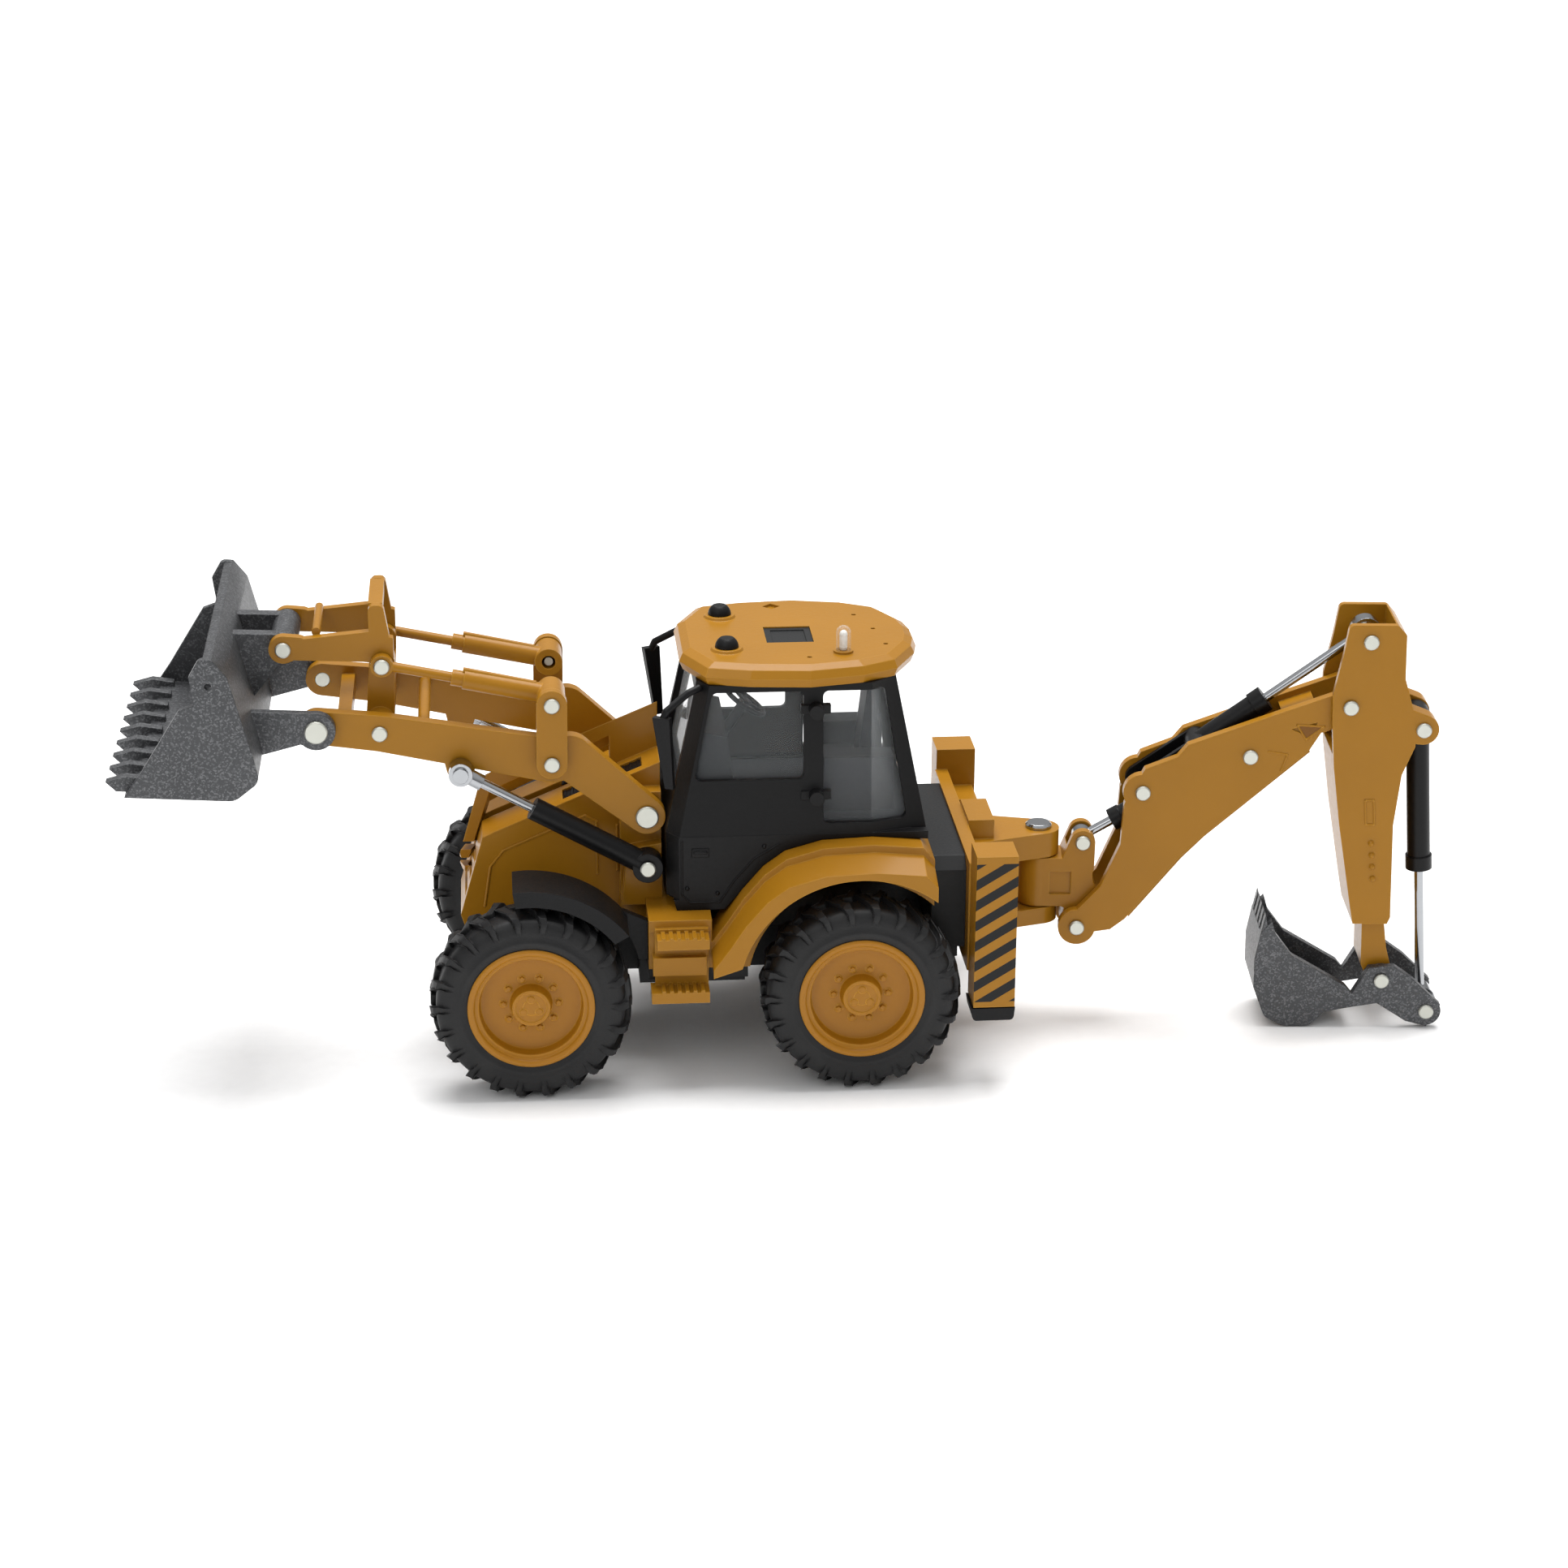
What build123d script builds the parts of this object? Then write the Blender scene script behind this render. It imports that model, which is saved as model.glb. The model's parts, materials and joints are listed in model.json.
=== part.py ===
"""Die-cast toy backhoe loader, 1:50, as an assembly of separate pieces.

The model is laid out about the centre of the rear axle: -X points to the front of the
machine, +Z up, y = 0 is its centre plane. When the pieces are written they are moved
so that the origin is the middle of the footprint, at ground level.
"""
from build123d import *
import math
import os

# --- Driving dimensions, mm and degrees ---------------------------------------------
# Running gear
WHEELBASE = 44.4
TYRE_RADIUS = 13.6
TYRE_WIDTH = 8.6
TRACK_OUTER = 25.0          # centre plane to the outer sidewall
RIM_RADIUS = 8.5
LUG_COUNT = 22
LUG_HEIGHT = 0.9
AXLE_RADIUS = 1.0
ARCH_GAP = 1.4              # tyre to wheel arch
FENDER_GAP = 3.0            # tyre to the fenders' lips

# Body
HOOD_HALF = 8.7
SHOULDER = 2.2              # bevel along the hood's top edges
BODY_HALF = 16.0            # door plane
SILL_HALF = 19.2
LEDGE_TOP = 10.0            # sill ledge under the doors
FENDER_HALF = 23.4
FENDER_FALL = 2.4           # the fenders' crown drops this much to their lips
WALL = 1.1                  # die-cast shells
CHASSIS_TOP = 4.4
CHASSIS_HALF = 13.6
FLOOR_BOTTOM = -1.5
CAB_FRONT = -25.7
CAB_REAR = 9.6
CAB_SILL = 20.2            # bottom of the glazed part, just above the fenders
CAB_TOP = 41.2
CAB_TOP_HALF = 13.8
CAB_WALL = 0.9
GLASS = 0.5
ROOF_HEIGHT = 2.9
ROOF_FRONT = -23.4
ROOF_REAR = 9.2
ROOF_HALF = 15.8
LAMP = (-17.0, 7.3)         # centre of each work lamp
BEACON = (-1.5, -9.4)
HATCH = (-8.2, -1.2)
DOOR_WINDOW = [(-22.0, 28.2), (-19.4, 40.2), (-7.2, 40.2), (-7.2, 28.2)]
SIDE_WINDOW = [(-4.6, 22.0), (-4.6, 40.2), (3.8, 40.2), (6.9, 22.0)]
ROOF_PLAN = [(ROOF_FRONT, 6.6), (ROOF_FRONT + 3.1, ROOF_HALF - 2.2),
             (ROOF_FRONT + 9.0, ROOF_HALF - 0.7), (-6.4, ROOF_HALF),
             (1.0, ROOF_HALF - 1.6), (5.6, ROOF_HALF - 4.2), (ROOF_REAR - 0.6, 5.4),
             (ROOF_REAR, 2.0)]

# Loader: pivots as (x, z)
ARM_PIVOT = (-28.1, 21.8)
LIFT_BASE = (-28.2, 15.5)
LIFT_EYE = (-53.0, 29.5)
ROCKER_PIVOT = (-40.8, 30.2)
ROCKER_TOP = (-40.7, 38.5)
LEVER_PIVOT = (-63.6, 34.6)
LEVER_TOP = (-63.1, 43.2)
LINK_NOSE = (-76.1, 45.3)
BUCKET_PIVOT = (-71.9, 35.6)
BUCKET_HALF = 22.5
BUCKET_WALL = 1.0
BUCKET_TEETH = 9
ARM_INNER = 9.2             # inner face of each arm plate
ARM_PLATE = 1.8
EAR_PLATE = 1.4             # bucket ears, rockers
LINK_INNER = 5.6
LINK_PLATE = 1.4
STRUT_EYE = 1.4
HOOP_TOP = 51.2             # top of the link's hoop
RAM_RADIUS = 1.55
ROD_RADIUS = 0.65
LIFT_BARREL = 17.6          # base pivot to gland
LIFT_ROD = 21.2             # eye to the rod's inner end

# Backhoe: pivots as (distance behind the kingpost, z) in its own swung plane
KINGPOST_X = 27.3
SWING = -5.3                # parked slightly towards the left-hand side
BOOM_FOOT = (5.5, 1.1)
BOOM_RAM_EYE = (6.1, 13.2)
BOOM_RAM_BASE = (28.6, 26.7)
DIPPER_RAM_BASE = (14.0, 21.3)
DIPPER_PIVOT = (41.8, 34.4)
DIPPER_RAM_PIN = (44.0, 43.8)
CROWD_RAM_BASE = (52.0, 31.2)
HOE_PIVOT = (48.6, -6.3)
HOE_RAM_PIN = (55.2, -11.0)
BOOM_INNER = 2.8
BOOM_PLATE = 1.4
DIPPER_HALF = 5.4
HOE_HALF = 5.2
HOE_WALL = 0.9
KINGPIN_RADIUS = 1.0
BOOM_ROD = 16.0             # post eye to the rod's inner end
BOOM_GLAND = 4.8            # post eye to the barrel's gland
BOOM_BARREL_END = 21.5      # post eye to the barrel's closed end
DIPPER_GLAND = 21.0         # base pivot to gland
DIPPER_ROD = 23.4           # eye to the rod's inner end
FORK_LENGTH = 9.6           # base pivot to the fork's crotch
FORK_INNER = 1.8            # half the gap between its tines
CROWD_GLAND = 22.4          # base pivot to gland
CROWD_ROD = 34.0            # eye to the rod's inner end

# Stabilisers
REAR_PLATE_X = 15.0          # front face of the rear frame's cross plate
REAR_PLATE = 1.8
LEG_BOX_X = 18.0            # centre of each leg box
LEG_BOX_OUTER = 24.0
LEG_BOX = 5.6               # its length along X
LEG_BOX_DEPTH = 5.6         # its depth along Y
LEG_BOX_TOP = 19.7
LEG_BOX_BOTTOM = -2.1
LEG_WALL = 0.8

# Rivets
RIVET = 0.6                 # shank radius of the small rivets
BIG_RIVET = 1.0             # shank radius at the arm and bucket pivots
HEAD = 1.05                 # head radius of the small rivets
BIG_HEAD = 1.55
HEAD_HEIGHT = 0.5

# Clearances
RUN = 0.05                  # radial, shaft in hole
SIDE = 0.2                  # between plates that turn past each other
SLIDE = 0.15                # leg in its box
STRUT_PLAY = 0.25           # the rocker end of each strut is the loose pivot
LINK_PLAY = 0.62            # the bucket end of the link is the loose pivot
EYE_PLAY = 1.0              # loose eyes of the dipper and crowd rams

FRONT_X = -WHEELBASE
FRONT_ARCH = FRONT_X + TYRE_RADIUS + ARCH_GAP
SILL_FRONT = FRONT_ARCH + 1.0
SILL_REAR = -19.9           # where the sill meets the rear fender
SCREWS = [(x, y) for x in (FRONT_X + 18, -18) for y in (-6.5, 6.5)]
TYRE_INNER = TRACK_OUTER - TYRE_WIDTH
ARM_OUTER = ARM_INNER + ARM_PLATE
EAR_INNER = ARM_OUTER + SIDE
EAR_OUTER = EAR_INNER + EAR_PLATE
STRUT_INNER = LINK_INNER + LINK_PLATE + SIDE
STRUT_OUTER = STRUT_INNER + STRUT_EYE
STRUT_Y = STRUT_INNER + 0.4 * RAM_RADIUS
RAM_Y = EAR_INNER + RAM_RADIUS
BOOM_OUTER = BOOM_INNER + BOOM_PLATE
CHEEK = DIPPER_HALF - BOOM_OUTER - SIDE


# --- Building helpers ------------------------------------------------------------------
def profile(*points):
    """Closed outline of (x, z) or (x, z, corner radius) points."""
    shape = Polygon(*[point[:2] for point in points], align=None)
    for point in points:
        if len(point) == 3:
            corner = shape.vertices().sort_by_distance(Vector(point[0], point[1]))[0]
            shape = fillet(corner, point[2])
    return shape


def slab(outline, y_from, y_to):
    """An x-z outline as a plate between two y planes."""
    low, high = sorted((y_from, y_to))
    face_plane = Plane(origin=(0, high, 0), x_dir=(1, 0, 0), z_dir=(0, -1, 0))
    return extrude(face_plane * outline, high - low, dir=(0, -1, 0))


def disc(centre, radius, y_from, y_to):
    """A round boss, pin or hole along Y."""
    return slab(Pos(*centre) * Circle(radius), y_from, y_to)


def strap(a, b, radius_a, radius_b):
    """Outline of a bar with two round ends."""
    ends = (Pos(*a) * Circle(radius_a)).edges() + (Pos(*b) * Circle(radius_b)).edges()
    return make_hull(ends)


def rod(a, b, radius, y=0.0):
    """A round bar between two (x, z) points at one y."""
    start = Vector(a[0], y, a[1])
    along = Vector(b[0], y, b[1]) - start
    return extrude(Plane(origin=start, z_dir=along) * Circle(radius), along.length)


def between(a, b, distance):
    """The (x, z) point at a distance from a towards b."""
    share = distance / math.dist(a, b)
    return (a[0] + share * (b[0] - a[0]), a[1] + share * (b[1] - a[1]))


def block(x_from, x_to, y_from, y_to, z_from, z_to):
    """A rectangular block between its corner planes."""
    size = (x_to - x_from, y_to - y_from, z_to - z_from)
    middle = ((x_from + x_to) / 2, (y_from + y_to) / 2, (z_from + z_to) / 2)
    return Pos(*middle) * Box(*size)


def flipped(shape):
    """The same shape on the other side of the centre plane."""
    return mirror(shape, about=Plane.XZ)


def both(shape):
    """A left-hand shape and its mirror image, as separate solids."""
    return Compound(children=[*shape.solids(), *flipped(shape).solids()])


def rivet(centre, shank, head, y_tip, y_seat):
    """A left-hand rivet: shank from its tip to the seat of its domed head."""
    dome = disc(centre, head, -y_seat, -y_seat - HEAD_HEIGHT)
    dome = chamfer(dome.faces().sort_by(Axis.Y)[0].edges(), 0.3 * HEAD_HEIGHT)
    return disc(centre, shank, -y_tip, -y_seat) + dome


def arc_plan(half_points):
    """Closed plan outline from (x, y) points of its right-hand half."""
    mirrored = [(x, -y) for x, y in reversed(half_points)]
    return Polygon(*half_points, *mirrored, align=None)


# --- Running gear -----------------------------------------------------------------------
def tyre():
    """Right-hand tyre about the axle's line, with two rows of slanted lugs."""
    inner, outer = TYRE_INNER, TRACK_OUTER
    bore = RIM_RADIUS - 0.6
    crown = TYRE_RADIUS - LUG_HEIGHT
    section = Polygon(
        (bore, inner + 0.5), (bore + 2.2, inner), (crown - 0.8, inner + 0.5),
        (crown, inner + 1.5), (crown, outer - 1.5), (crown - 0.8, outer - 0.5),
        (bore + 2.2, outer), (RIM_RADIUS + 0.1, outer - 0.2), (RIM_RADIUS + 0.1, outer - 0.5),
        (bore, outer - 0.5), align=None)
    carcass = revolve(section, Axis.Y)
    pitch = 360 / LUG_COUNT
    middle = (inner + outer) / 2
    lugs = []
    for row, side in enumerate((-1, 1)):
        slant = Rot(0, 0, 28 * side) * Box(1.5, TYRE_WIDTH / 2 + 0.6, 2 * LUG_HEIGHT + 0.6)
        at_crown = Pos(0, middle + side * TYRE_WIDTH / 4, -crown) * slant
        for index in range(LUG_COUNT):
            lugs.append(Rot(0, (index + 0.5 * row) * pitch, 0) * at_crown)
    tread = revolve(Polygon(
        (crown - 1.2, inner + 0.3), (TYRE_RADIUS - 0.3, inner + 0.3), (TYRE_RADIUS, inner + 1.2),
        (TYRE_RADIUS, outer - 1.2), (TYRE_RADIUS - 0.3, outer - 0.3),
        (crown - 1.2, outer - 0.3), align=None), Axis.Y)
    blocks = (Part() + lugs) & tread
    return carcass + blocks


def rim():
    """Right-hand rim: lips, well, dished disc, hub and its ring of nut heads."""
    bore = RIM_RADIUS - 0.6
    lip_in, lip_out = TYRE_INNER + 0.5, TRACK_OUTER - 0.5
    dish = lip_out - 1.5
    well = Polygon(
        (bore, lip_in), (bore, lip_out), (RIM_RADIUS, lip_out), (RIM_RADIUS, lip_out + 0.35),
        (bore - 0.5, lip_out + 0.35), (bore - 1.3, dish), (3.3, dish - 0.2), (2.6, dish),
        (2.6, lip_out - 0.2), (AXLE_RADIUS, lip_out - 0.2), (AXLE_RADIUS, dish - 1.6),
        (3.0, dish - 1.6), (bore - 1.3, dish - 1.2), (bore - 0.9, lip_in), align=None)
    body = revolve(well, Axis.Y)
    nuts = [Rot(0, 36 * n, 0) * disc((3.7, 0), 0.42, dish - 0.6, dish + 0.35) for n in range(10)]
    cap = disc((0, 0), 2.1, lip_out - 0.2, lip_out + 0.15)
    dimples = [Rot(0, 120 * n, 0) * disc((1.0, 0), 0.45, lip_out, lip_out + 1) for n in range(3)]
    return body + nuts + (cap - dimples)


def axle():
    """Steel axle, ending inside the hub caps."""
    return disc((0, 0), AXLE_RADIUS, 0.7 - TRACK_OUTER, TRACK_OUTER - 0.7)


def chassis_base():
    """Black base: belly, raised sills, front and rear axle beams with their bearings."""
    rear_arch = -TYRE_RADIUS - ARCH_GAP
    belly = slab(profile(
        (FRONT_X - 6.4, -1.0), (FRONT_X - 6.4, CHASSIS_TOP), (REAR_PLATE_X, CHASSIS_TOP),
        (REAR_PLATE_X, -1.0), (12.0, FLOOR_BOTTOM), (FRONT_X + 4, FLOOR_BOTTOM)),
        -HOOD_HALF, HOOD_HALF)
    middle = block(FRONT_ARCH, rear_arch, -CHASSIS_HALF, CHASSIS_HALF, FLOOR_BOTTOM, CHASSIS_TOP)
    sill = block(SILL_FRONT, rear_arch, -SILL_HALF, SILL_HALF, 1.4, 2.9)
    beams = Part()
    for x in (FRONT_X, 0):
        half = CHASSIS_HALF
        beams += slab(profile((x - 3.4, -2.4), (x - 3.4, 1.6), (x + 3.4, 1.6), (x + 3.4, -2.4)),
                      -half, half)
    base = belly + middle + sill + beams
    for x in (FRONT_X, 0):
        base -= disc((x, 0), AXLE_RADIUS + RUN, -TRACK_OUTER, TRACK_OUTER)
    for x, y in SCREWS:
        base -= Pos(x, y, FLOOR_BOTTOM) * Cylinder(0.9 + RUN, 1.6)
        base -= Pos(x, y, FLOOR_BOTTOM + 1.6) * Cylinder(0.5, 4.0)
    return base


def chassis_screws():
    """Four cross-head screws, sunk in the belly."""
    screws = []
    for x, y in SCREWS:
        head = Pos(x, y, FLOOR_BOTTOM + 0.4) * Cylinder(0.9, 0.8)
        head += Pos(x, y, FLOOR_BOTTOM + 1.8) * Cylinder(0.5, 2.4)
        for turn in (0, 90):
            head -= Pos(x, y, FLOOR_BOTTOM) * Rot(0, 0, turn) * Box(1.1, 0.25, 0.5)
        screws.append(head)
    return Compound(children=[s for screw in screws for s in screw.solids()])


# --- Body -------------------------------------------------------------------------------
def hood_outline(inset):
    """Side view of the hood, shrunk by a wall."""
    return profile(
        (FRONT_X - 9.2 + inset, 6.4), (FRONT_X - 6.0 + inset, 17.6 - inset),
        (FRONT_X - 4.4 + inset, 18.4 - inset), (CAB_FRONT - 0.4 - inset, 28.0 - inset),
        (CAB_FRONT - 0.4 - inset, CHASSIS_TOP), (FRONT_X - 8.6 + inset, CHASSIS_TOP))


def hood_shell():
    """Die-cast hood with bevelled shoulders, louvres and the loader's pivot tower."""
    def bonnet(inset):
        half = HOOD_HALF - inset
        solid = slab(hood_outline(inset), SHOULDER - half, half - SHOULDER)
        for side in (-1, 1):
            edge = Pos(0, side * (half - SHOULDER), 0) * Plane.XZ * hood_outline(inset)
            solid += extrude(edge, SHOULDER * math.sqrt(2), dir=(0, side, -1))
        return solid & block(FRONT_X - 20, 0, -half, half, CHASSIS_TOP, 60)

    shell = bonnet(0)
    tower = slab(profile((ARM_PIVOT[0] - 3.6, CHASSIS_TOP), (ARM_PIVOT[0] - 3.6, 20.0),
                         (ARM_PIVOT[0] - 2.0, 24.6, 1.0), (CAB_FRONT - 0.4, 24.6),
                         (CAB_FRONT - 0.4, CHASSIS_TOP)),
                 SIDE - ARM_INNER, ARM_INNER - SIDE)
    saddle = slab(profile((LIFT_BASE[0] - 3.4, 9.0), (LIFT_BASE[0] - 2.6, LIFT_BASE[1] + 1.6, 1.0),
                          (LIFT_BASE[0] + 2.0, LIFT_BASE[1] + 2.4), (CAB_FRONT - 0.4, 9.0)),
                  -ARM_OUTER, ARM_OUTER)
    shell += tower + saddle
    cavity = bonnet(WALL) & block(FRONT_X - 20, ARM_PIVOT[0] - 4.6, -20, 20, 0, 60)
    shell -= cavity
    slope = math.degrees(math.atan2(9.6, CAB_FRONT - FRONT_X + 4.0))
    for side in (-1, 1):
        for x in (FRONT_X + 6.5, FRONT_X + 14.5):
            z = 18.4 + (x - FRONT_X + 4.4) * math.tan(math.radians(slope))
            shell -= Pos(x, side * 3.2, z) * Rot(0, -slope, 0) * Box(3.2, 3.6, 0.9)
        shell -= block(FRONT_X - 4.4, FRONT_X + 8, side * (HOOD_HALF + 0.3) - 0.6,
                       side * (HOOD_HALF + 0.3) + 0.6, 7.0, 13.0)
    for row in range(3):
        shell -= block(FRONT_X - 20, FRONT_X - 6.9, -5.2, 5.2, 8.6 + 2.4 * row, 9.8 + 2.4 * row) \
            - block(FRONT_X - 7.0, FRONT_X, -6, 6, 0, 30)
    shell -= disc(ARM_PIVOT, BIG_RIVET, -ARM_OUTER - 1, ARM_OUTER + 1)
    shell -= disc(LIFT_BASE, RIVET, -ARM_OUTER - 1, ARM_OUTER + 1)
    return shell


def chassis_rivets():
    """The arm pivots and lift-ram base pivots, fixed in the hood's tower."""
    left = rivet(ARM_PIVOT, BIG_RIVET, BIG_HEAD, 5.6, ARM_OUTER + 0.1)
    left2 = rivet(LIFT_BASE, RIVET, HEAD, 5.6, RAM_Y + RAM_RADIUS + 0.1)
    return Compound(children=[*both(left).solids(), *both(left2).solids()])


def fender_top(drop=0.0):
    """The rear fenders' crown line in side view, from sill to rear corner."""
    line = [(SILL_REAR, 6.6), (-17.7, 9.6), (-15.6, 12.8), (-12.7, 16.2), (-9.8, 18.3),
            (-4.8, 19.7), (2.0, 20.0), (8.6, 19.4)]
    return [(x, z - drop) for x, z in line]


def rear_body():
    """Ochre lower body: sill ledges, side panels and the two rear fenders."""
    reach = TYRE_RADIUS + ARCH_GAP
    lip = TYRE_RADIUS + FENDER_GAP
    shape = profile(*fender_top(), (10.2, 17.6), (10.2, 2.9), (SILL_REAR, 2.9))
    inner = slab(shape, -BODY_HALF - 3.2, BODY_HALF + 3.2)
    arch = disc((0, 0), reach, -30, 30)
    flare_shape = profile(*fender_top(), (10.2, 17.6), (10.2, 14.2), (0, 12.0),
                          (SILL_REAR, 5.4))
    flare_width = FENDER_HALF - BODY_HALF
    start = Plane(origin=(0, BODY_HALF, 0), x_dir=(1, 0, 0), z_dir=(0, -1, 0)) * flare_shape
    flare = extrude(start, math.hypot(flare_width, FENDER_FALL),
                    dir=(0, flare_width, -FENDER_FALL))
    flare -= disc((0, 0), lip, -30, 30)
    ledge = block(SILL_FRONT, SILL_REAR, -SILL_HALF - 0.3, SILL_HALF + 0.3,
                  LEDGE_TOP - 1.6, LEDGE_TOP)
    apron = block(SILL_FRONT, SILL_REAR, -SILL_HALF, SILL_HALF, 2.9, LEDGE_TOP - 1.6)
    body = inner - arch + flare + flipped(flare) + ledge + apron
    body -= slab(profile((-23.9, CHASSIS_TOP), (-23.9, 12.0), (-14.5, 18.0), (8.8, 18.0),
                         (8.8, CHASSIS_TOP)), -TYRE_INNER + 3.6, TYRE_INNER - 3.6)
    body -= slab(profile((FRONT_ARCH, 0), (FRONT_ARCH, CHASSIS_TOP + 0.02),
                         (12, CHASSIS_TOP + 0.02), (12, 0)), -CHASSIS_HALF - 0.1,
                 CHASSIS_HALF + 0.1)
    body -= block(FRONT_ARCH, CAB_FRONT - 0.4, -ARM_OUTER - 0.1, ARM_OUTER + 0.1, 0, 30)
    return body + both_steps()


def both_steps():
    """Cab steps on both sides: hanger plate, two ribbed treads and a kick block."""
    x_from, x_to = -28.2, -20.4
    face = SILL_HALF
    step = block(x_from + 0.6, x_to, face, face + 0.9, -0.4, 9.0)
    step += block(x_from + 0.8, x_to, face, 22.6, 7.0, 8.4)
    step += block(x_from, x_to, face, 23.0, -0.6, 0.9)
    step += block(x_from + 0.3, x_to - 0.3, face, 21.0, 2.6, 5.2)
    for rib in range(6):
        x = x_from + 1.4 + rib * 1.05
        step += block(x, x + 0.5, face + 0.6, 22.6, 8.4, 8.7)
        step += block(x, x + 0.5, face + 0.6, 23.0, 0.9, 1.2)
    return step + flipped(step)


def front_fender():
    """Right-hand black front fender, hung from the hood side by a bracket."""
    inner_r = TYRE_RADIUS + 1.5
    outer_r = inner_r + 1.3
    ring = disc((FRONT_X, 0), outer_r, TYRE_INNER - 0.6, TRACK_OUTER - 1.2)
    ring -= disc((FRONT_X, 0), inner_r, 0, 30)
    sector = profile((FRONT_X, 2), (FRONT_X - 4.2, 30), (FRONT_X + 13.0, 30),
                     (FRONT_X + 30, 19.5))
    fender = ring & slab(sector, 0, 30)
    valance = disc((FRONT_X, 0), outer_r, TRACK_OUTER - 2.0, TRACK_OUTER - 1.2)
    valance -= disc((FRONT_X, 0), inner_r - 0.9, 0, 30)
    fender += valance & slab(sector, 0, 30)
    fender += slab(profile((SILL_FRONT - 4.2, 3.4), (SILL_FRONT - 4.2, 11.0),
                           (SILL_FRONT, 9.0), (SILL_FRONT, 3.4)),
                   TYRE_INNER - 0.6, TYRE_INNER + 0.6) - disc((FRONT_X, 0), inner_r, 0, 30)
    return fender


def cab_section(z, inset):
    """Plan of the cab at a height, shrunk by a wall: wide at the door, narrow behind."""
    rise = (z - CAB_SILL) / (CAB_TOP - CAB_SILL)
    front = CAB_FRONT + 4.3 * rise + inset
    rear = CAB_REAR - 4.1 * rise - inset
    half = BODY_HALF + (CAB_TOP_HALF - BODY_HALF) * rise - inset
    plan = arc_plan([(front, half - 2.4), (front + 1.6, half), (2.0, half),
                     (rear, half - 2.2 - 1.0 * rise)])
    return Pos(0, 0, z) * plan


def cab_box(inset, z_from, z_to):
    """Tapered cab volume between two heights."""
    return loft([cab_section(z_from, inset), cab_section(z_to, inset)])


def cab_frame():
    """Black cab: lower door panels, pillars, headers and window openings."""
    upper = cab_box(0, CAB_SILL, CAB_TOP) - cab_box(CAB_WALL, CAB_SILL, CAB_TOP)
    apron = profile((CAB_FRONT + 0.1, 11.5), (CAB_FRONT + 1.3, LEDGE_TOP), (-17.9, LEDGE_TOP),
                    *fender_top(-0.05)[2:-1], (CAB_REAR, 19.5), (CAB_REAR, CAB_SILL + 0.4),
                    (CAB_FRONT, CAB_SILL + 0.4))
    lower = slab(apron, BODY_HALF - 1.6, BODY_HALF)
    lower += flipped(lower)
    bulkhead = block(CAB_FRONT, CAB_FRONT + 1.0, -BODY_HALF + 2.4, BODY_HALF - 2.4, 11.5,
                     CAB_SILL + 0.4)
    corner = Polygon((CAB_FRONT, BODY_HALF - 2.4), (CAB_FRONT + 1.6, BODY_HALF),
                     (CAB_FRONT + 2.4, BODY_HALF), (CAB_FRONT + 2.4, BODY_HALF - 1.6),
                     (CAB_FRONT + 1.0, BODY_HALF - 2.4), align=None)
    corner = extrude(Pos(0, 0, 11.5) * corner, CAB_SILL + 0.4 - 11.5, dir=(0, 0, 1))
    frame = upper + (lower - block(CAB_FRONT - 1, CAB_FRONT + 2.4, -20, 20, 0, 30))
    frame += bulkhead + corner + flipped(corner)
    foot = slab(profile((CAB_FRONT + 1.3, LEDGE_TOP), (CAB_FRONT + 0.9, 11.5),
                        (CAB_FRONT + 2.5, 11.5), (CAB_FRONT + 2.5, LEDGE_TOP)),
                BODY_HALF - 1.6, BODY_HALF)
    frame += foot + flipped(foot)
    frame -= slab(profile(*[(*p, 0.8) for p in DOOR_WINDOW]), -30, 30)
    frame -= slab(profile(*[(*p, 0.8) for p in SIDE_WINDOW]), -30, 30)
    frame -= block(CAB_FRONT - 5, -15, -11.0, 11.0, 26.0, 40.0)
    frame -= block(0, CAB_REAR + 5, -8.6, 8.6, 24.5, 39.6)
    hinge = disc((-5.6, 0), 1.0, 0, 2.4)
    for z, lean in ((37.8, 1.9), (26.0, 0.7)):
        knob = Pos(0, BODY_HALF - lean - 0.5, z) * hinge
        bar = block(-7.6, -3.6, BODY_HALF - lean - 0.6, BODY_HALF - lean + 0.4, z - 0.6, z + 0.6)
        frame += knob + bar + flipped(knob + bar)
    return frame


def cab_glazing():
    """One clear moulding that lines the cab behind the window openings."""
    outer = cab_box(CAB_WALL + 0.02, 21.4, CAB_TOP - 0.1)
    return outer - cab_box(CAB_WALL + GLASS + 0.02, 20.0, CAB_TOP + 1.0)


def roof_plan(inset):
    """Plan of the roof, each corner drawn in towards the middle."""
    middle = (ROOF_FRONT + ROOF_REAR) / 2
    half_length = (ROOF_REAR - ROOF_FRONT) / 2
    points = []
    for x, y in ROOF_PLAN:
        points.append((x - inset * (x - middle) / half_length, y * (1 - inset / ROOF_HALF)))
    return arc_plan(points)


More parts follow.
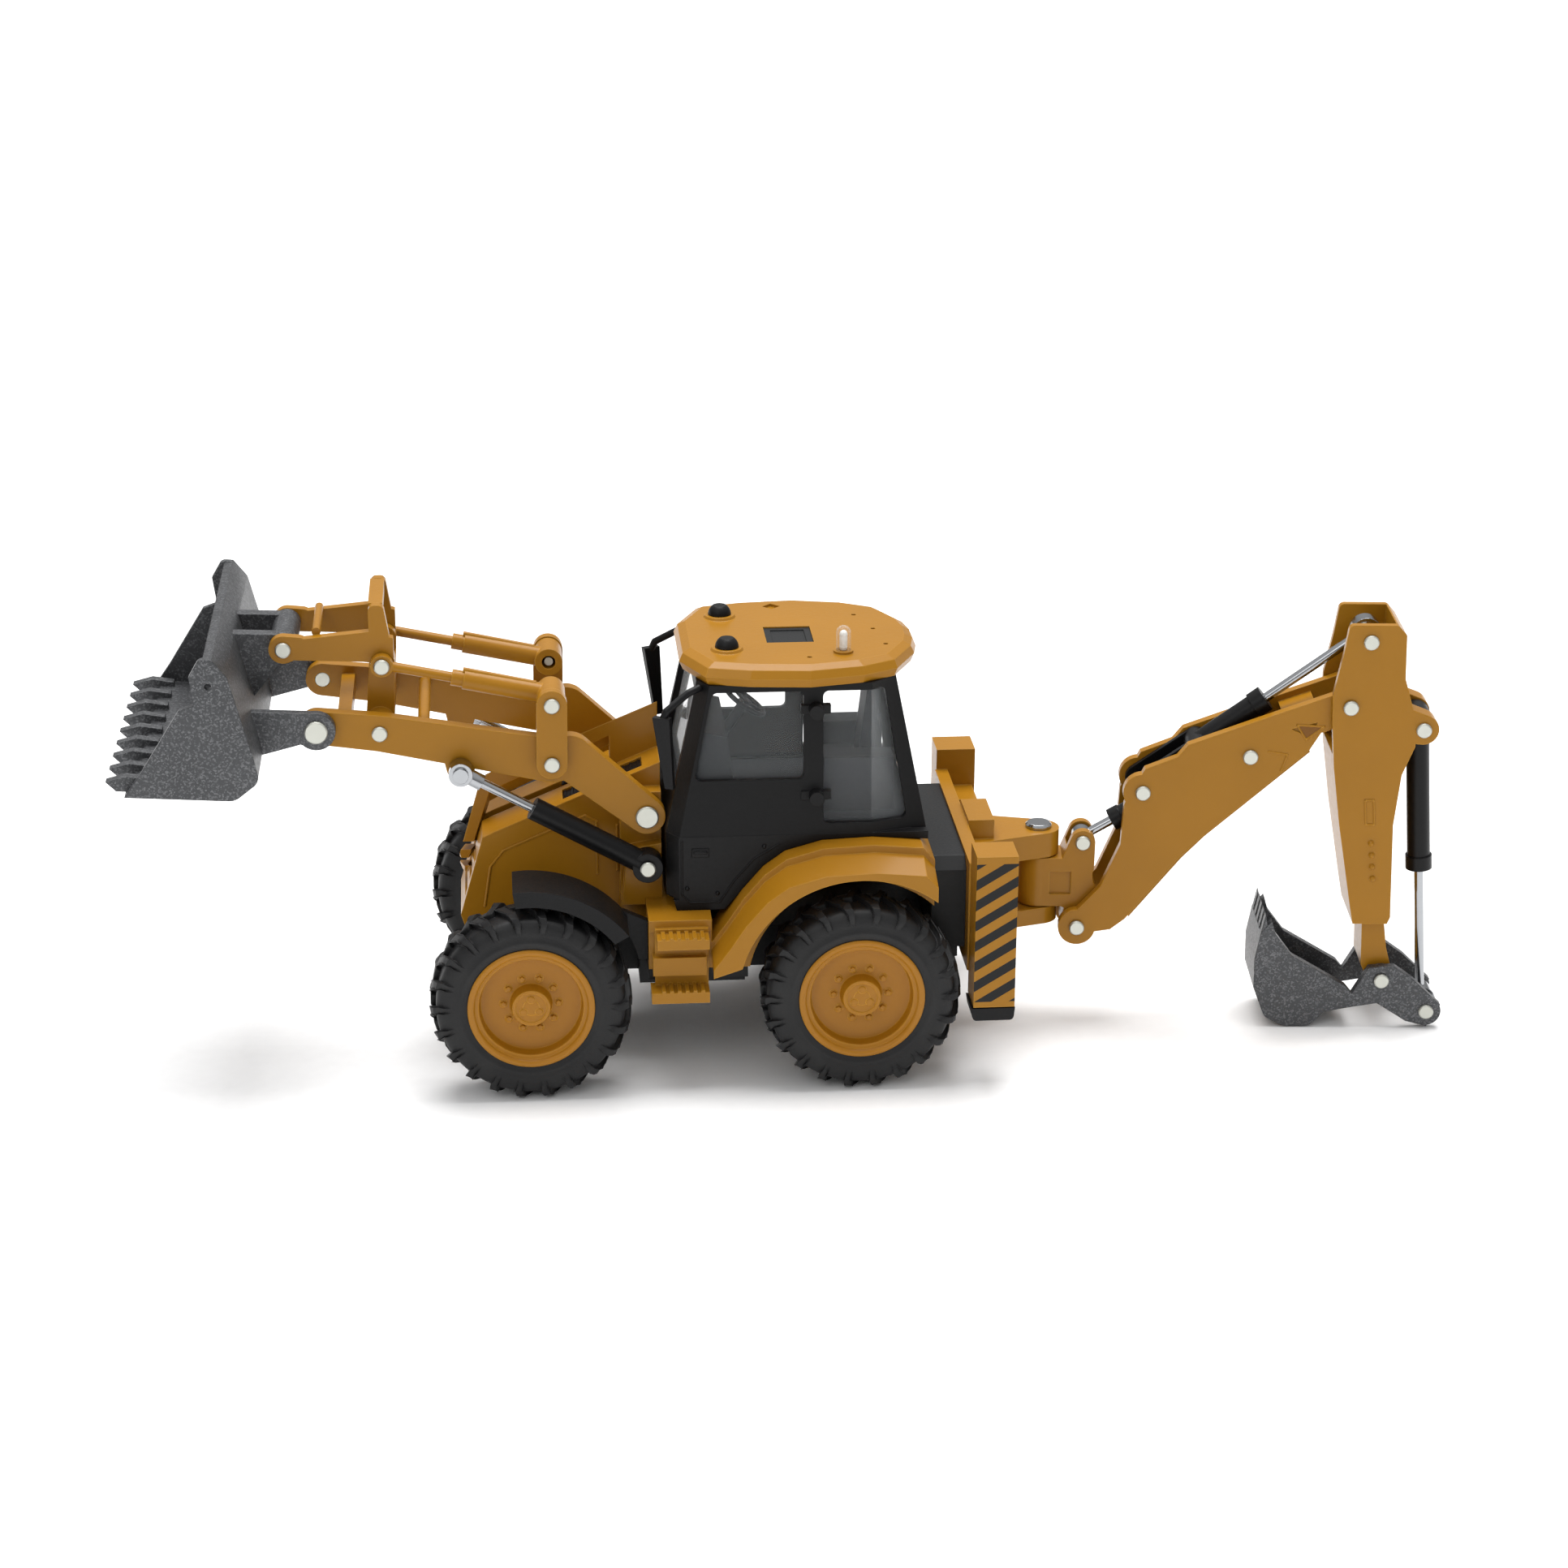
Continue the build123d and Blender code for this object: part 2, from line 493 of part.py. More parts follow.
def cab_roof():
    """Ochre roof: fascia, bevelled crown, lamp bosses, hatch recess and moulded dimples."""
    roof = loft([Pos(0, 0, CAB_TOP) * roof_plan(0.5), Pos(0, 0, CAB_TOP + 1.2) * roof_plan(0)])
    roof += loft([Pos(0, 0, CAB_TOP + 1.2) * roof_plan(0),
                  Pos(0, 0, CAB_TOP + ROOF_HEIGHT - 0.6) * roof_plan(0.5)])
    roof += loft([Pos(0, 0, CAB_TOP + ROOF_HEIGHT - 0.6) * roof_plan(0.5),
                  Pos(0, 0, CAB_TOP + ROOF_HEIGHT) * roof_plan(1.6)])
    top = CAB_TOP + ROOF_HEIGHT
    for y in (-LAMP[1], LAMP[1]):
        roof += Pos(LAMP[0], y, top + 0.1) * Cone(2.4, 2.0, 0.6)
    roof += Pos(*BEACON, top) * Cylinder(1.35, 0.7)
    roof -= Pos(*HATCH, top) * Box(6.4, 7.0, 1.4)
    for x, y in ((-6.2, -11.2), (1.6, 7.0), (3.6, 0.6), (4.6, -6.2)):
        roof -= Pos(x, y, top) * Cylinder(0.35, 0.7)
    roof -= Pos(-9.5, 11.6, top) * Rot(0, 0, 45) * Box(1.8, 1.8, 0.8)
    return roof


def roof_hatch():
    """Black hatch panel at the bottom of the roof's recess."""
    frame = Pos(*HATCH, CAB_TOP + ROOF_HEIGHT - 0.45) * Box(6.4, 7.0, 0.5)
    return frame - Pos(*HATCH, CAB_TOP + ROOF_HEIGHT - 0.2) * Box(4.6, 5.2, 0.3)


def roof_lamps():
    """Two black work-lamp domes on the roof's front bosses."""
    lamps = []
    seat = CAB_TOP + ROOF_HEIGHT + 0.4
    for y in (-LAMP[1], LAMP[1]):
        dome = Pos(LAMP[0], y, seat) * Sphere(1.6) & block(-20, -14, -12, 12, seat, seat + 1.3)
        lamps += dome.solids()
    return Compound(children=lamps)


def beacon_lens():
    """Clear capsule of the rotating beacon."""
    seat = CAB_TOP + ROOF_HEIGHT + 0.35
    lens = Pos(*BEACON, seat + 1.2) * Cylinder(1.0, 2.4) + Pos(*BEACON, seat + 2.4) * Sphere(1.0)
    return lens


def mirror_arm():
    """Right-hand mirror: bent black arm from the front roof corner, with its glass backing."""
    path = Polyline((-21.0, 12.6, 40.6), (-22.6, 13.6, 40.2), (-25.6, 15.0, 38.2),
                    (-26.2, 15.2, 36.8))
    arm = Part()
    points = [Vector(*v) for v in path.vertices()]
    for a, b in zip(points, points[1:]):
        arm += extrude(Plane(origin=a, z_dir=b - a) * Circle(0.5), (b - a).length)
        arm += Pos(*b) * Sphere(0.5)
    board = loft([Plane(origin=(-26.2, 15.2, 37.4), x_dir=(0.9, 0.4, 0)) * Rectangle(2.4, 1.0),
                  Plane(origin=(-25.2, 15.3, 27.4), x_dir=(0.9, 0.4, 0)) * Rectangle(1.2, 0.8)])
    return arm + board


def cab_interior():
    """Grey moulding: floor, operator's seat, side consoles and front dash."""
    floor = block(CAB_FRONT + 1.4, CAB_REAR - 1.4, -12.2, 12.2, CAB_SILL + 0.1, 21.3)
    seat = block(-4.6, 2.4, -3.6, 3.6, 21.3, 26.4)
    back = slab(profile((1.2, 25.0), (2.6, 37.0, 0.8), (4.4, 37.0, 0.8), (3.4, 25.0)), -3.0, 3.0)
    consoles = block(-4.0, 5.6, -9.4, -5.4, 21.3, 29.0) + block(-4.0, 5.6, 5.4, 9.4, 21.3, 29.0)
    dash = slab(profile((-22.6, 21.3), (-21.2, 33.0), (-17.0, 32.0), (-15.6, 21.3)), -8.5, 8.5)
    column = rod((-17.4, 29.3), (-14.19, 33.97), 0.7)
    return floor + seat + back + consoles + dash + column


def steering_wheel():
    """Three-spoke steering wheel on the top of the column."""
    place = Pos(-14.0, 0, 34.25) * Rot(0, 34.5, 0)
    wheel = Torus(3.0, 0.35) + Cylinder(0.9, 0.6)
    for turn in range(3):
        wheel += Rot(0, 0, 120 * turn) * Pos(1.6, 0, 0) * Box(2.8, 0.6, 0.4)
    return place * wheel


def rear_deck():
    """Black deck and tank sides behind the cab."""
    deck = slab(profile((CAB_REAR + 0.7, 5.0), (CAB_REAR + 0.7, 16.2), (REAR_PLATE_X, 16.2),
                        (REAR_PLATE_X, 3.4), (12.4, 3.4)),
                -15.6, 15.6)
    edges = deck.faces().sort_by(Axis.Z)[-1].edges().filter_by(Axis.X)
    deck = chamfer(edges, 1.6)
    return deck - block(0, 16, -HOOD_HALF - 0.1, HOOD_HALF + 0.1, 0, CHASSIS_TOP)


# --- Loader -------------------------------------------------------------------------------
def loader_arms():
    """Both cranked arm plates with their bosses, joined by a bar and a plate."""
    bosses = [(BUCKET_PIVOT, 2.3), (LEVER_PIVOT, 2.0), (ROCKER_PIVOT, 2.2), (ARM_PIVOT, 2.5),
              (LIFT_EYE, 1.9)]
    crank = (-38.4, 30.6)
    spine = [(BUCKET_PIVOT, 2.3), (LEVER_PIVOT, 2.5), (ROCKER_PIVOT, 3.1)]
    plate = Part()
    for (a, ra), (b, rb) in zip(spine, spine[1:]):
        plate += slab(strap(a, b, ra, rb), ARM_INNER, ARM_OUTER)
    plate += slab(strap(ROCKER_PIVOT, crank, 3.1, 3.1), ARM_INNER, ARM_OUTER)
    plate += slab(strap(crank, ARM_PIVOT, 3.1, 2.5), ARM_INNER, ARM_OUTER)
    for centre, radius in bosses:
        plate += disc(centre, radius, ARM_INNER, ARM_OUTER)
    plate += slab(strap(LIFT_EYE, (LIFT_EYE[0], 32.6), 1.9, 2.6), ARM_INNER, ARM_OUTER)
    plate -= disc(ARM_PIVOT, BIG_RIVET + RUN, 0, 20)
    plate -= disc(BUCKET_PIVOT, BIG_RIVET + RUN, 0, 20)
    plate -= disc(LEVER_PIVOT, RIVET, 0, 20)
    plate -= disc(ROCKER_PIVOT, RIVET, 0, 20)
    arms = plate + flipped(plate)
    arms += disc((-57.8, 35.0), 0.8, -ARM_INNER, ARM_INNER)
    arms += block(-69.2, -67.4, -ARM_INNER, ARM_INNER, 33.8, 36.4)
    return arms


def arm_rivets():
    """Rivets fixed in the arms: the rockers' and the lever's pivots."""
    rocker = rivet(ROCKER_PIVOT, RIVET, HEAD, ARM_INNER, EAR_OUTER + 0.1)
    lever = rivet(LEVER_PIVOT, RIVET, HEAD, ARM_INNER - 3.0, ARM_OUTER)
    return Compound(children=[*both(rocker).solids(), *both(lever).solids()])


def rockers():
    """Both rocker plates on the outside of the arms."""
    plate = slab(strap(ROCKER_PIVOT, ROCKER_TOP, 2.05, 2.05), -EAR_INNER, -EAR_OUTER)
    plate -= disc(ROCKER_PIVOT, RIVET + RUN, -20, 0)
    plate -= disc(ROCKER_TOP, RIVET, -20, 0)
    return both(plate)


def rocker_rivets():
    """Rivets fixed in the rockers' tops, on which the struts' hubs turn."""
    return both(rivet(ROCKER_TOP, RIVET, HEAD, STRUT_Y - 1.6, EAR_OUTER))


def tilt_struts():
    """Two one-piece struts, each cast as a ram with a thin rod and a fat barrel."""
    collar = between(LEVER_TOP, ROCKER_TOP, 9.4)
    barrel = between(LEVER_TOP, ROCKER_TOP, 11.0)
    eye = disc(LEVER_TOP, 1.5, -STRUT_INNER, -STRUT_OUTER)
    bar = rod(LEVER_TOP, ROCKER_TOP, 0.68, -STRUT_Y)
    neck = rod(collar, ROCKER_TOP, 1.1, -STRUT_Y)
    fat = rod(barrel, ROCKER_TOP, 1.35, -STRUT_Y)
    pipe = rod((barrel[0], barrel[1] + 1.3), (ROCKER_TOP[0] - 2, ROCKER_TOP[1] + 1.6), 0.4, -STRUT_Y)
    hub = disc(ROCKER_TOP, 1.9, -STRUT_Y + 2.0, -EAR_INNER + SIDE)
    strut = eye + bar + neck + fat + pipe + hub
    strut -= disc(LEVER_TOP, RIVET + RUN, -20, 0)
    strut -= disc(ROCKER_TOP, RIVET + 2 * RUN + STRUT_PLAY, -20, 0)
    slot = disc(LEVER_TOP, 2.1, -STRUT_INNER, 0)
    return both(strut - slot)


def tilt_lever():
    """Lever between the arms: hub, solid tower and two ears at its top."""
    hub = disc(LEVER_PIVOT, 1.9, SIDE - ARM_INNER, ARM_INNER - SIDE)
    ear_outer = LINK_INNER - SIDE
    tower = slab(strap(LEVER_PIVOT, LEVER_TOP, 1.9, 1.7), -ear_outer, ear_outer)
    notch = slab(strap(LEVER_TOP, (LEVER_TOP[0], LEVER_TOP[1] + 4), 2.2, 2.2), -3.8, 3.8)
    lever = hub + tower - notch
    lever -= disc(LEVER_PIVOT, RIVET + RUN, -20, 20)
    return lever - disc(LEVER_TOP, RIVET, -20, 20)


def lever_rivets():
    """Rivets fixed in the lever's ears, carrying the link and the struts."""
    return both(rivet(LEVER_TOP, RIVET, HEAD, 3.8, STRUT_OUTER + 0.1))


def tilt_link():
    """Link frame from lever to bucket: two side plates, a hoop and a cross bar."""
    outer = LINK_INNER + LINK_PLATE
    x, z = LEVER_TOP
    nose_x, nose_z = LINK_NOSE
    plate = slab(strap(LINK_NOSE, (nose_x + 2, nose_z + 0.3), 1.9, 1.4), LINK_INNER, outer)
    plate += slab(profile((nose_x, nose_z + 1.2), (x - 1.4, z + 4.4), (x + 1.6, z + 3.4),
                          (x + 1.6, z - 0.4), (x - 2.4, z + 0.2), (nose_x, nose_z - 1.4)),
                  LINK_INNER, outer)
    plate += disc(LEVER_TOP, 1.7, LINK_INNER, outer)
    plate += slab(profile((x - 1.6, z + 3), (x - 1.6, HOOP_TOP, 0.8), (x + 0.4, HOOP_TOP, 0.8),
                          (x + 1.2, z + 3)), LINK_INNER, outer)
    link = plate + flipped(plate)
    link += block(x - 1.6, x + 0.3, -LINK_INNER, LINK_INNER, HOOP_TOP - 1.8, HOOP_TOP - 0.05)
    link += disc((nose_x + 4.4, nose_z + 2.0), 0.6, -LINK_INNER, LINK_INNER)
    link -= disc(LEVER_TOP, RIVET + RUN, -20, 20)
    return link - disc(LINK_NOSE, RIVET, -20, 20)


def link_rivets():
    """Rivets fixed in the link's nose; the bucket's bore is loose on their tips."""
    return both(rivet(LINK_NOSE, RIVET, HEAD, LINK_INNER - 1.6, LINK_INNER + LINK_PLATE))


def bucket_side():
    """Side view of the loader bucket's cheek plates."""
    return profile((-96.4, 30.7), (-82.2, 29.8, 2.2), (-78.9, 32.4, 1.6), (-79.6, 35.9),
                   (-82.4, 46.8), (-84.3, 49.2, 0.9), (-85.9, 49.3, 0.9), (-87.3, 46.9),
                   (-86.8, 43.1), (-88.8, 42.4), (-94.0, 34.1))


def loader_bucket():
    """Loader bucket: cheeks, wrapped floor and back, teeth, ears and link gussets."""
    cheeks = slab(bucket_side(), BUCKET_HALF - BUCKET_WALL, BUCKET_HALF)
    wrap = profile((-96.4, 30.7), (-82.2, 29.8, 2.2), (-78.9, 32.4, 1.6), (-79.6, 35.9),
                   (-82.4, 46.8), (-84.3, 49.2), (-85.5, 49.0), (-83.4, 46.4),
                   (-80.7, 35.9), (-80.2, 33.0, 0.8), (-82.6, 30.9, 1.2), (-95.0, 31.8))
    bucket = cheeks + flipped(cheeks) + slab(wrap, -BUCKET_HALF, BUCKET_HALF)
    spacing = (2 * BUCKET_HALF - 5.4) / (BUCKET_TEETH - 1)
    tooth_side = profile((-98.9, 32.2), (-97.6, 30.9), (-93.2, 30.6), (-93.2, 32.4), (-96.2, 32.9))
    for index in range(BUCKET_TEETH):
        y = -BUCKET_HALF + 2.7 + index * spacing
        bucket += slab(tooth_side, y - 0.75, y + 0.75)
    ear = slab(profile((-80.2, 32.3), (-80.8, 38.6), (BUCKET_PIVOT[0], BUCKET_PIVOT[1] + 2.5),
                       (BUCKET_PIVOT[0], BUCKET_PIVOT[1] - 2.4), (-74.0, 33.9)),
               EAR_INNER, EAR_OUTER)
    ear += disc(BUCKET_PIVOT, 2.55, EAR_INNER, EAR_OUTER)
    ear -= disc(BUCKET_PIVOT, BIG_RIVET, 0, 20)
    nose = LINK_NOSE
    gusset = slab(profile((-80.6, 38.0), (-83.0, 47.2), (nose[0], nose[1] + 1.6),
                          (nose[0] + 1.4, nose[1])), 3.4, LINK_INNER - SIDE)
    bucket += ear + flipped(ear) + gusset + flipped(gusset)
    bucket += disc(nose, 1.85, SIDE - LINK_INNER, LINK_INNER - SIDE)
    bucket -= disc(nose, RIVET + LINK_PLAY, -20, 20)
    return bucket - disc((-84.9, 45.6), 0.45, -30, 30)


def bucket_rivets():
    """Large rivets fixed in the bucket's ears, on which it turns in the arms."""
    return both(rivet(BUCKET_PIVOT, BIG_RIVET, BIG_HEAD, ARM_INNER, EAR_OUTER))


def lift_barrels():
    """Black barrels of the lift rams, turning on the tower's rivets."""
    gland = between(LIFT_BASE, LIFT_EYE, LIFT_BARREL)
    eye = disc(LIFT_BASE, 2.05, -RAM_Y - RAM_RADIUS + 0.1, -RAM_Y + RAM_RADIUS - 0.1)
    barrel = eye + rod(LIFT_BASE, gland, RAM_RADIUS, -RAM_Y)
    bore_end = between(LIFT_BASE, LIFT_EYE, 2.6)
    barrel -= rod(bore_end, between(LIFT_BASE, LIFT_EYE, LIFT_BARREL + 1),
                  ROD_RADIUS + RUN, -RAM_Y)
    return both(barrel - disc(LIFT_BASE, RIVET + RUN, -20, 0))


def lift_rods():
    """Chrome rods of the lift rams, with their eyes and rivet heads."""
    inner_end = between(LIFT_EYE, LIFT_BASE, LIFT_ROD)
    bar = rod(LIFT_EYE, inner_end, ROD_RADIUS, -RAM_Y)
    collar = rod(LIFT_EYE, between(LIFT_EYE, LIFT_BASE, 3.2), 1.1, -RAM_Y)
    eye = disc(LIFT_EYE, 1.6, -RAM_Y - 1.3, -RAM_Y + 1.4)
    cap = disc(LIFT_EYE, HEAD, -RAM_Y - 1.3, -RAM_Y - 1.3 - HEAD_HEIGHT)
    return both(bar + collar + eye + cap)


# --- Stabilisers and swing carriage ---------------------------------------------------------
def rear_frame():
    """Ochre rear frame: cross plate, two leg boxes and the kingpost brackets."""
    x0, x1 = LEG_BOX_X - LEG_BOX / 2, LEG_BOX_X + LEG_BOX / 2
    outer = LEG_BOX_OUTER
    inner = outer - LEG_BOX_DEPTH
    back = REAR_PLATE_X + REAR_PLATE
    frame = block(REAR_PLATE_X, back, -inner, inner, 1.0, 16.7)
    for side in (-1, 1):
        y0, y1 = sorted((side * inner, side * outer))
        box = block(x0, x1, y0, y1, LEG_BOX_BOTTOM, LEG_BOX_TOP)
        box -= block(x0 + LEG_WALL, x1 - LEG_WALL, y0 + LEG_WALL, y1 - LEG_WALL,
                     LEG_BOX_BOTTOM - 1, LEG_BOX_TOP - 1.0)
        frame += box
        frame += block(back, 20.4, *sorted((side * 12.4, side * inner)), 12.6, 14.2)
    plan = make_hull(Rectangle(0.2, 12.0).moved(Pos(back + 0.1, 0, 0)).edges()
                     + (Pos(KINGPOST_X, 0) * Circle(2.9)).edges())
    for z_from, z_to in ((11.0, 14.6), (1.0, 3.4)):
        frame += extrude(Pos(0, 0, z_from) * plan, z_to - z_from, dir=(0, 0, 1))
    frame += block(back, 20.4, -4.2, 4.2, 14.6, 17.4)
    return frame - Pos(KINGPOST_X, 0, 8) * Cylinder(KINGPIN_RADIUS, 30)


def stabiliser_leg():
    """Right-hand sliding leg with its ground pad."""
    x0, x1 = LEG_BOX_X - LEG_BOX / 2, LEG_BOX_X + LEG_BOX / 2
    y1 = LEG_BOX_OUTER
    y0 = y1 - LEG_BOX_DEPTH
    gap = LEG_WALL + SLIDE
    leg = block(x0 + gap, x1 - gap, y0 + gap, y1 - gap, LEG_BOX_BOTTOM - 0.4, LEG_BOX_TOP - 3)
    pad = slab(profile((x0 - 0.3, LEG_BOX_BOTTOM - 0.2), (x1 + 0.1, LEG_BOX_BOTTOM - 0.2),
                       (x1 - 0.1, LEG_BOX_BOTTOM - 2.0, 0.6), (x0, LEG_BOX_BOTTOM - 2.0, 0.6)),
               y0 + 0.1, y1 - 0.1)
    return leg + pad


def kingpin():
    """Chrome kingpin with a wide domed head."""
    pin = Pos(KINGPOST_X, 0, (0.8 + 14.6) / 2) * Cylinder(KINGPIN_RADIUS, 14.6 - 0.8)
    head = Pos(KINGPOST_X, 0, 14.6 + 0.35) * Cylinder(1.85, 0.7)
    head = chamfer(head.faces().sort_by(Axis.Z)[-1].edges(), 0.3)
    return pin + head


def swung(shape):
    """Moves a backhoe piece from its own plane to the parked swing angle."""
    return Pos(KINGPOST_X, 0, 0) * Rot(0, 0, SWING) * shape


def swing_post():
    """Swing post: kingpost hub, boom-foot lug and the twin ears of the boom ram."""
    lug = BOOM_INNER - SIDE
    hub = Pos(0, 0, 7.2) * Cylinder(2.7, 7.2)
    web = slab(profile((0, 3.6), (0, 10.8), (3.3, 10.8), (4.6, 12.4), (7.4, 10.6), (8.0, 4.0),
                       (5.4, 2.6), (3.3, 3.6)),
               -lug, lug)
    post = hub + web
    post += slab(strap(BOOM_FOOT, (6.2, 6.0), 2.1, 2.0), -lug, lug)
    ears = slab(strap(BOOM_RAM_EYE, (5.4, 9.6), 1.75, 2.4), -lug, lug)
    ears -= slab(strap(BOOM_RAM_EYE, (BOOM_RAM_EYE[0] + 4, BOOM_RAM_EYE[1] + 1), 2.3, 2.6),
                 -1.4, 1.4)
    post += ears
    post -= slab(strap(BOOM_RAM_EYE, (BOOM_RAM_EYE[0] + 6, BOOM_RAM_EYE[1] + 1), 2.3, 2.6),
                 -1.4, 1.4)
    for side in (-1, 1):
        post -= block(1.6, 4.6, side * (lug + 0.4) - 0.8, side * (lug + 0.4) + 0.8, 5.4, 8.8)
    post -= Pos(0, 0, 8) * Cylinder(KINGPIN_RADIUS + RUN, 30)
    post -= disc(BOOM_FOOT, RIVET, -10, 10)
    return post - disc(BOOM_RAM_EYE, RIVET, -10, 10)


def cross_rivet(centre, seat):
    """A rivet right through a joint, with a head on each side."""
    left = rivet(centre, RIVET, HEAD, 0, seat)
    return left + flipped(left)


def post_rivets():
    """Rivets fixed in the swing post: boom foot and boom-ram eye."""
    pins = [cross_rivet(BOOM_FOOT, BOOM_OUTER + 0.1), cross_rivet(BOOM_RAM_EYE, BOOM_INNER - SIDE)]
    return Compound(children=[s for pin in pins for s in pin.solids()])


# --- Backhoe ----------------------------------------------------------------------------------
def boom():
    """Cranked boom: two plates with their bosses, closed by a web along the back."""
    outline = profile(
        (5.0, 3.2), (8.6, 7.2), (11.2, 13.6), (11.5, 19.6), (14.2, 24.8), (18.6, 26.6),
        (20.0, 28.4), (32.6, 33.2), (39.6, 35.8), (38.9, 31.6), (36.6, 27.6), (22.4, 14.8),
        (19.2, 11.4), (12.2, 2.4), (10.2, 0.8), (7.8, 0.4))
    plate = slab(outline, BOOM_INNER, BOOM_OUTER)
    bosses = [(BOOM_FOOT, 2.6), (DIPPER_RAM_BASE, 2.7), (DIPPER_PIVOT, 2.1), (BOOM_RAM_BASE, 1.5)]
    for centre, radius in bosses:
        plate += disc(centre, radius, BOOM_INNER, BOOM_OUTER)
    plate += slab(strap(DIPPER_PIVOT, (38.0, 32.6), 2.1, 2.3), BOOM_INNER, BOOM_OUTER)
    sides = plate + flipped(plate)
    web = slab(profile((12.9, 2.2), (19.9, 11.1), (23.0, 14.4), (37.0, 27.0), (36.3, 28.0),
                       (22.2, 15.3), (19.0, 12.0), (12.0, 3.2)), -BOOM_INNER, BOOM_INNER)
    cap = slab(profile((33.0, 32.4), (37.4, 34.0), (37.2, 33.0), (33.2, 31.4)),
               -BOOM_INNER, BOOM_INNER)
    for side in (-1, 1):
        y = side * BOOM_OUTER
        mark = slab(profile((34.0, 30.8), (37.6, 31.8), (36.8, 29.6)), y - 0.25, y + 0.25)
        sides -= mark
    body = sides + web + cap
    body -= disc(BOOM_FOOT, RIVET + RUN, -10, 10)
    for pin in (DIPPER_RAM_BASE, DIPPER_PIVOT, BOOM_RAM_BASE):
        body -= disc(pin, RIVET, -10, 10)
    return body


def boom_rivets():
    """Rivets fixed in the boom: dipper-ram base, dipper pivot and boom-ram base."""
    pins = [cross_rivet(DIPPER_PIVOT, DIPPER_HALF + 0.1),
            both(rivet(DIPPER_RAM_BASE, RIVET, HEAD, FORK_INNER, BOOM_OUTER)),
            both(rivet(BOOM_RAM_BASE, RIVET, HEAD, BOOM_INNER, BOOM_OUTER))]
    return Compound(children=[s for pin in pins for s in pin.solids()])


def boom_ram_rod():
    """Chrome rod of the boom ram, its eye between the post's ears."""
    bar = rod(BOOM_RAM_EYE, between(BOOM_RAM_EYE, BOOM_RAM_BASE, BOOM_ROD), ROD_RADIUS)
    eye = disc(BOOM_RAM_EYE, 1.5, -1.2, 1.2)
    return eye + bar - disc(BOOM_RAM_EYE, RIVET + RUN, -10, 10)


def boom_ram_barrel():
    """Black barrel of the boom ram, inside the boom and loose at its closed end."""
    gland = between(BOOM_RAM_EYE, BOOM_RAM_BASE, BOOM_GLAND)
    far = between(BOOM_RAM_EYE, BOOM_RAM_BASE, BOOM_BARREL_END)
    barrel = rod(gland, far, 1.4)
    barrel += rod(gland, between(BOOM_RAM_EYE, BOOM_RAM_BASE, BOOM_GLAND + 1.6), 1.6)
    bore_end = between(BOOM_RAM_EYE, BOOM_RAM_BASE, BOOM_BARREL_END - 1.0)
    return barrel - rod(between(BOOM_RAM_EYE, BOOM_RAM_BASE, 3), bore_end, ROD_RADIUS + RUN)


def ram_barrel(base, tip, length, radius, bush, pin_radius):
    """A barrel from its base eye to its gland, bored for the rod."""
    gland = between(base, tip, length)
    barrel = rod(base, gland, radius) + disc(base, pin_radius, -bush, bush)
    barrel += rod(between(base, tip, length - 2.0), gland, radius + 0.25)
    barrel -= rod(between(base, tip, 2.4), between(base, tip, length + 1), ROD_RADIUS + RUN)
    return barrel - disc(base, RIVET + RUN, -10, 10)


def dipper_ram_barrel():
    """Black barrel of the dipper ram: its base is a fork that straddles the boom ram."""
    base, tip = DIPPER_RAM_BASE, DIPPER_RAM_PIN
    crotch, gland = between(base, tip, FORK_LENGTH), between(base, tip, DIPPER_GLAND)
    tine = slab(strap(base, crotch, 1.9, 1.7), FORK_INNER, BOOM_INNER - SIDE)
    tine -= disc(base, RIVET + RUN, 0, 10)
    barrel = rod(crotch, gland, 1.6) + disc(crotch, 1.7, SIDE - BOOM_INNER, BOOM_INNER - SIDE)
    barrel += rod(between(base, tip, DIPPER_GLAND - 2.0), gland, 1.85)
    barrel += tine + flipped(tine)
    return barrel - rod(crotch, between(base, tip, DIPPER_GLAND + 1), ROD_RADIUS + RUN)


def dipper_ram_rod():
    """Chrome rod of the dipper ram; its eye is loose on the dipper's pin."""
    inner_end = between(DIPPER_RAM_PIN, DIPPER_RAM_BASE, DIPPER_ROD)
    bar = rod(DIPPER_RAM_PIN, inner_end, ROD_RADIUS)
    eye = disc(DIPPER_RAM_PIN, 2.1, -1.2, 1.2)
    return bar + eye - disc(DIPPER_RAM_PIN, RIVET + EYE_PLAY, -10, 10)


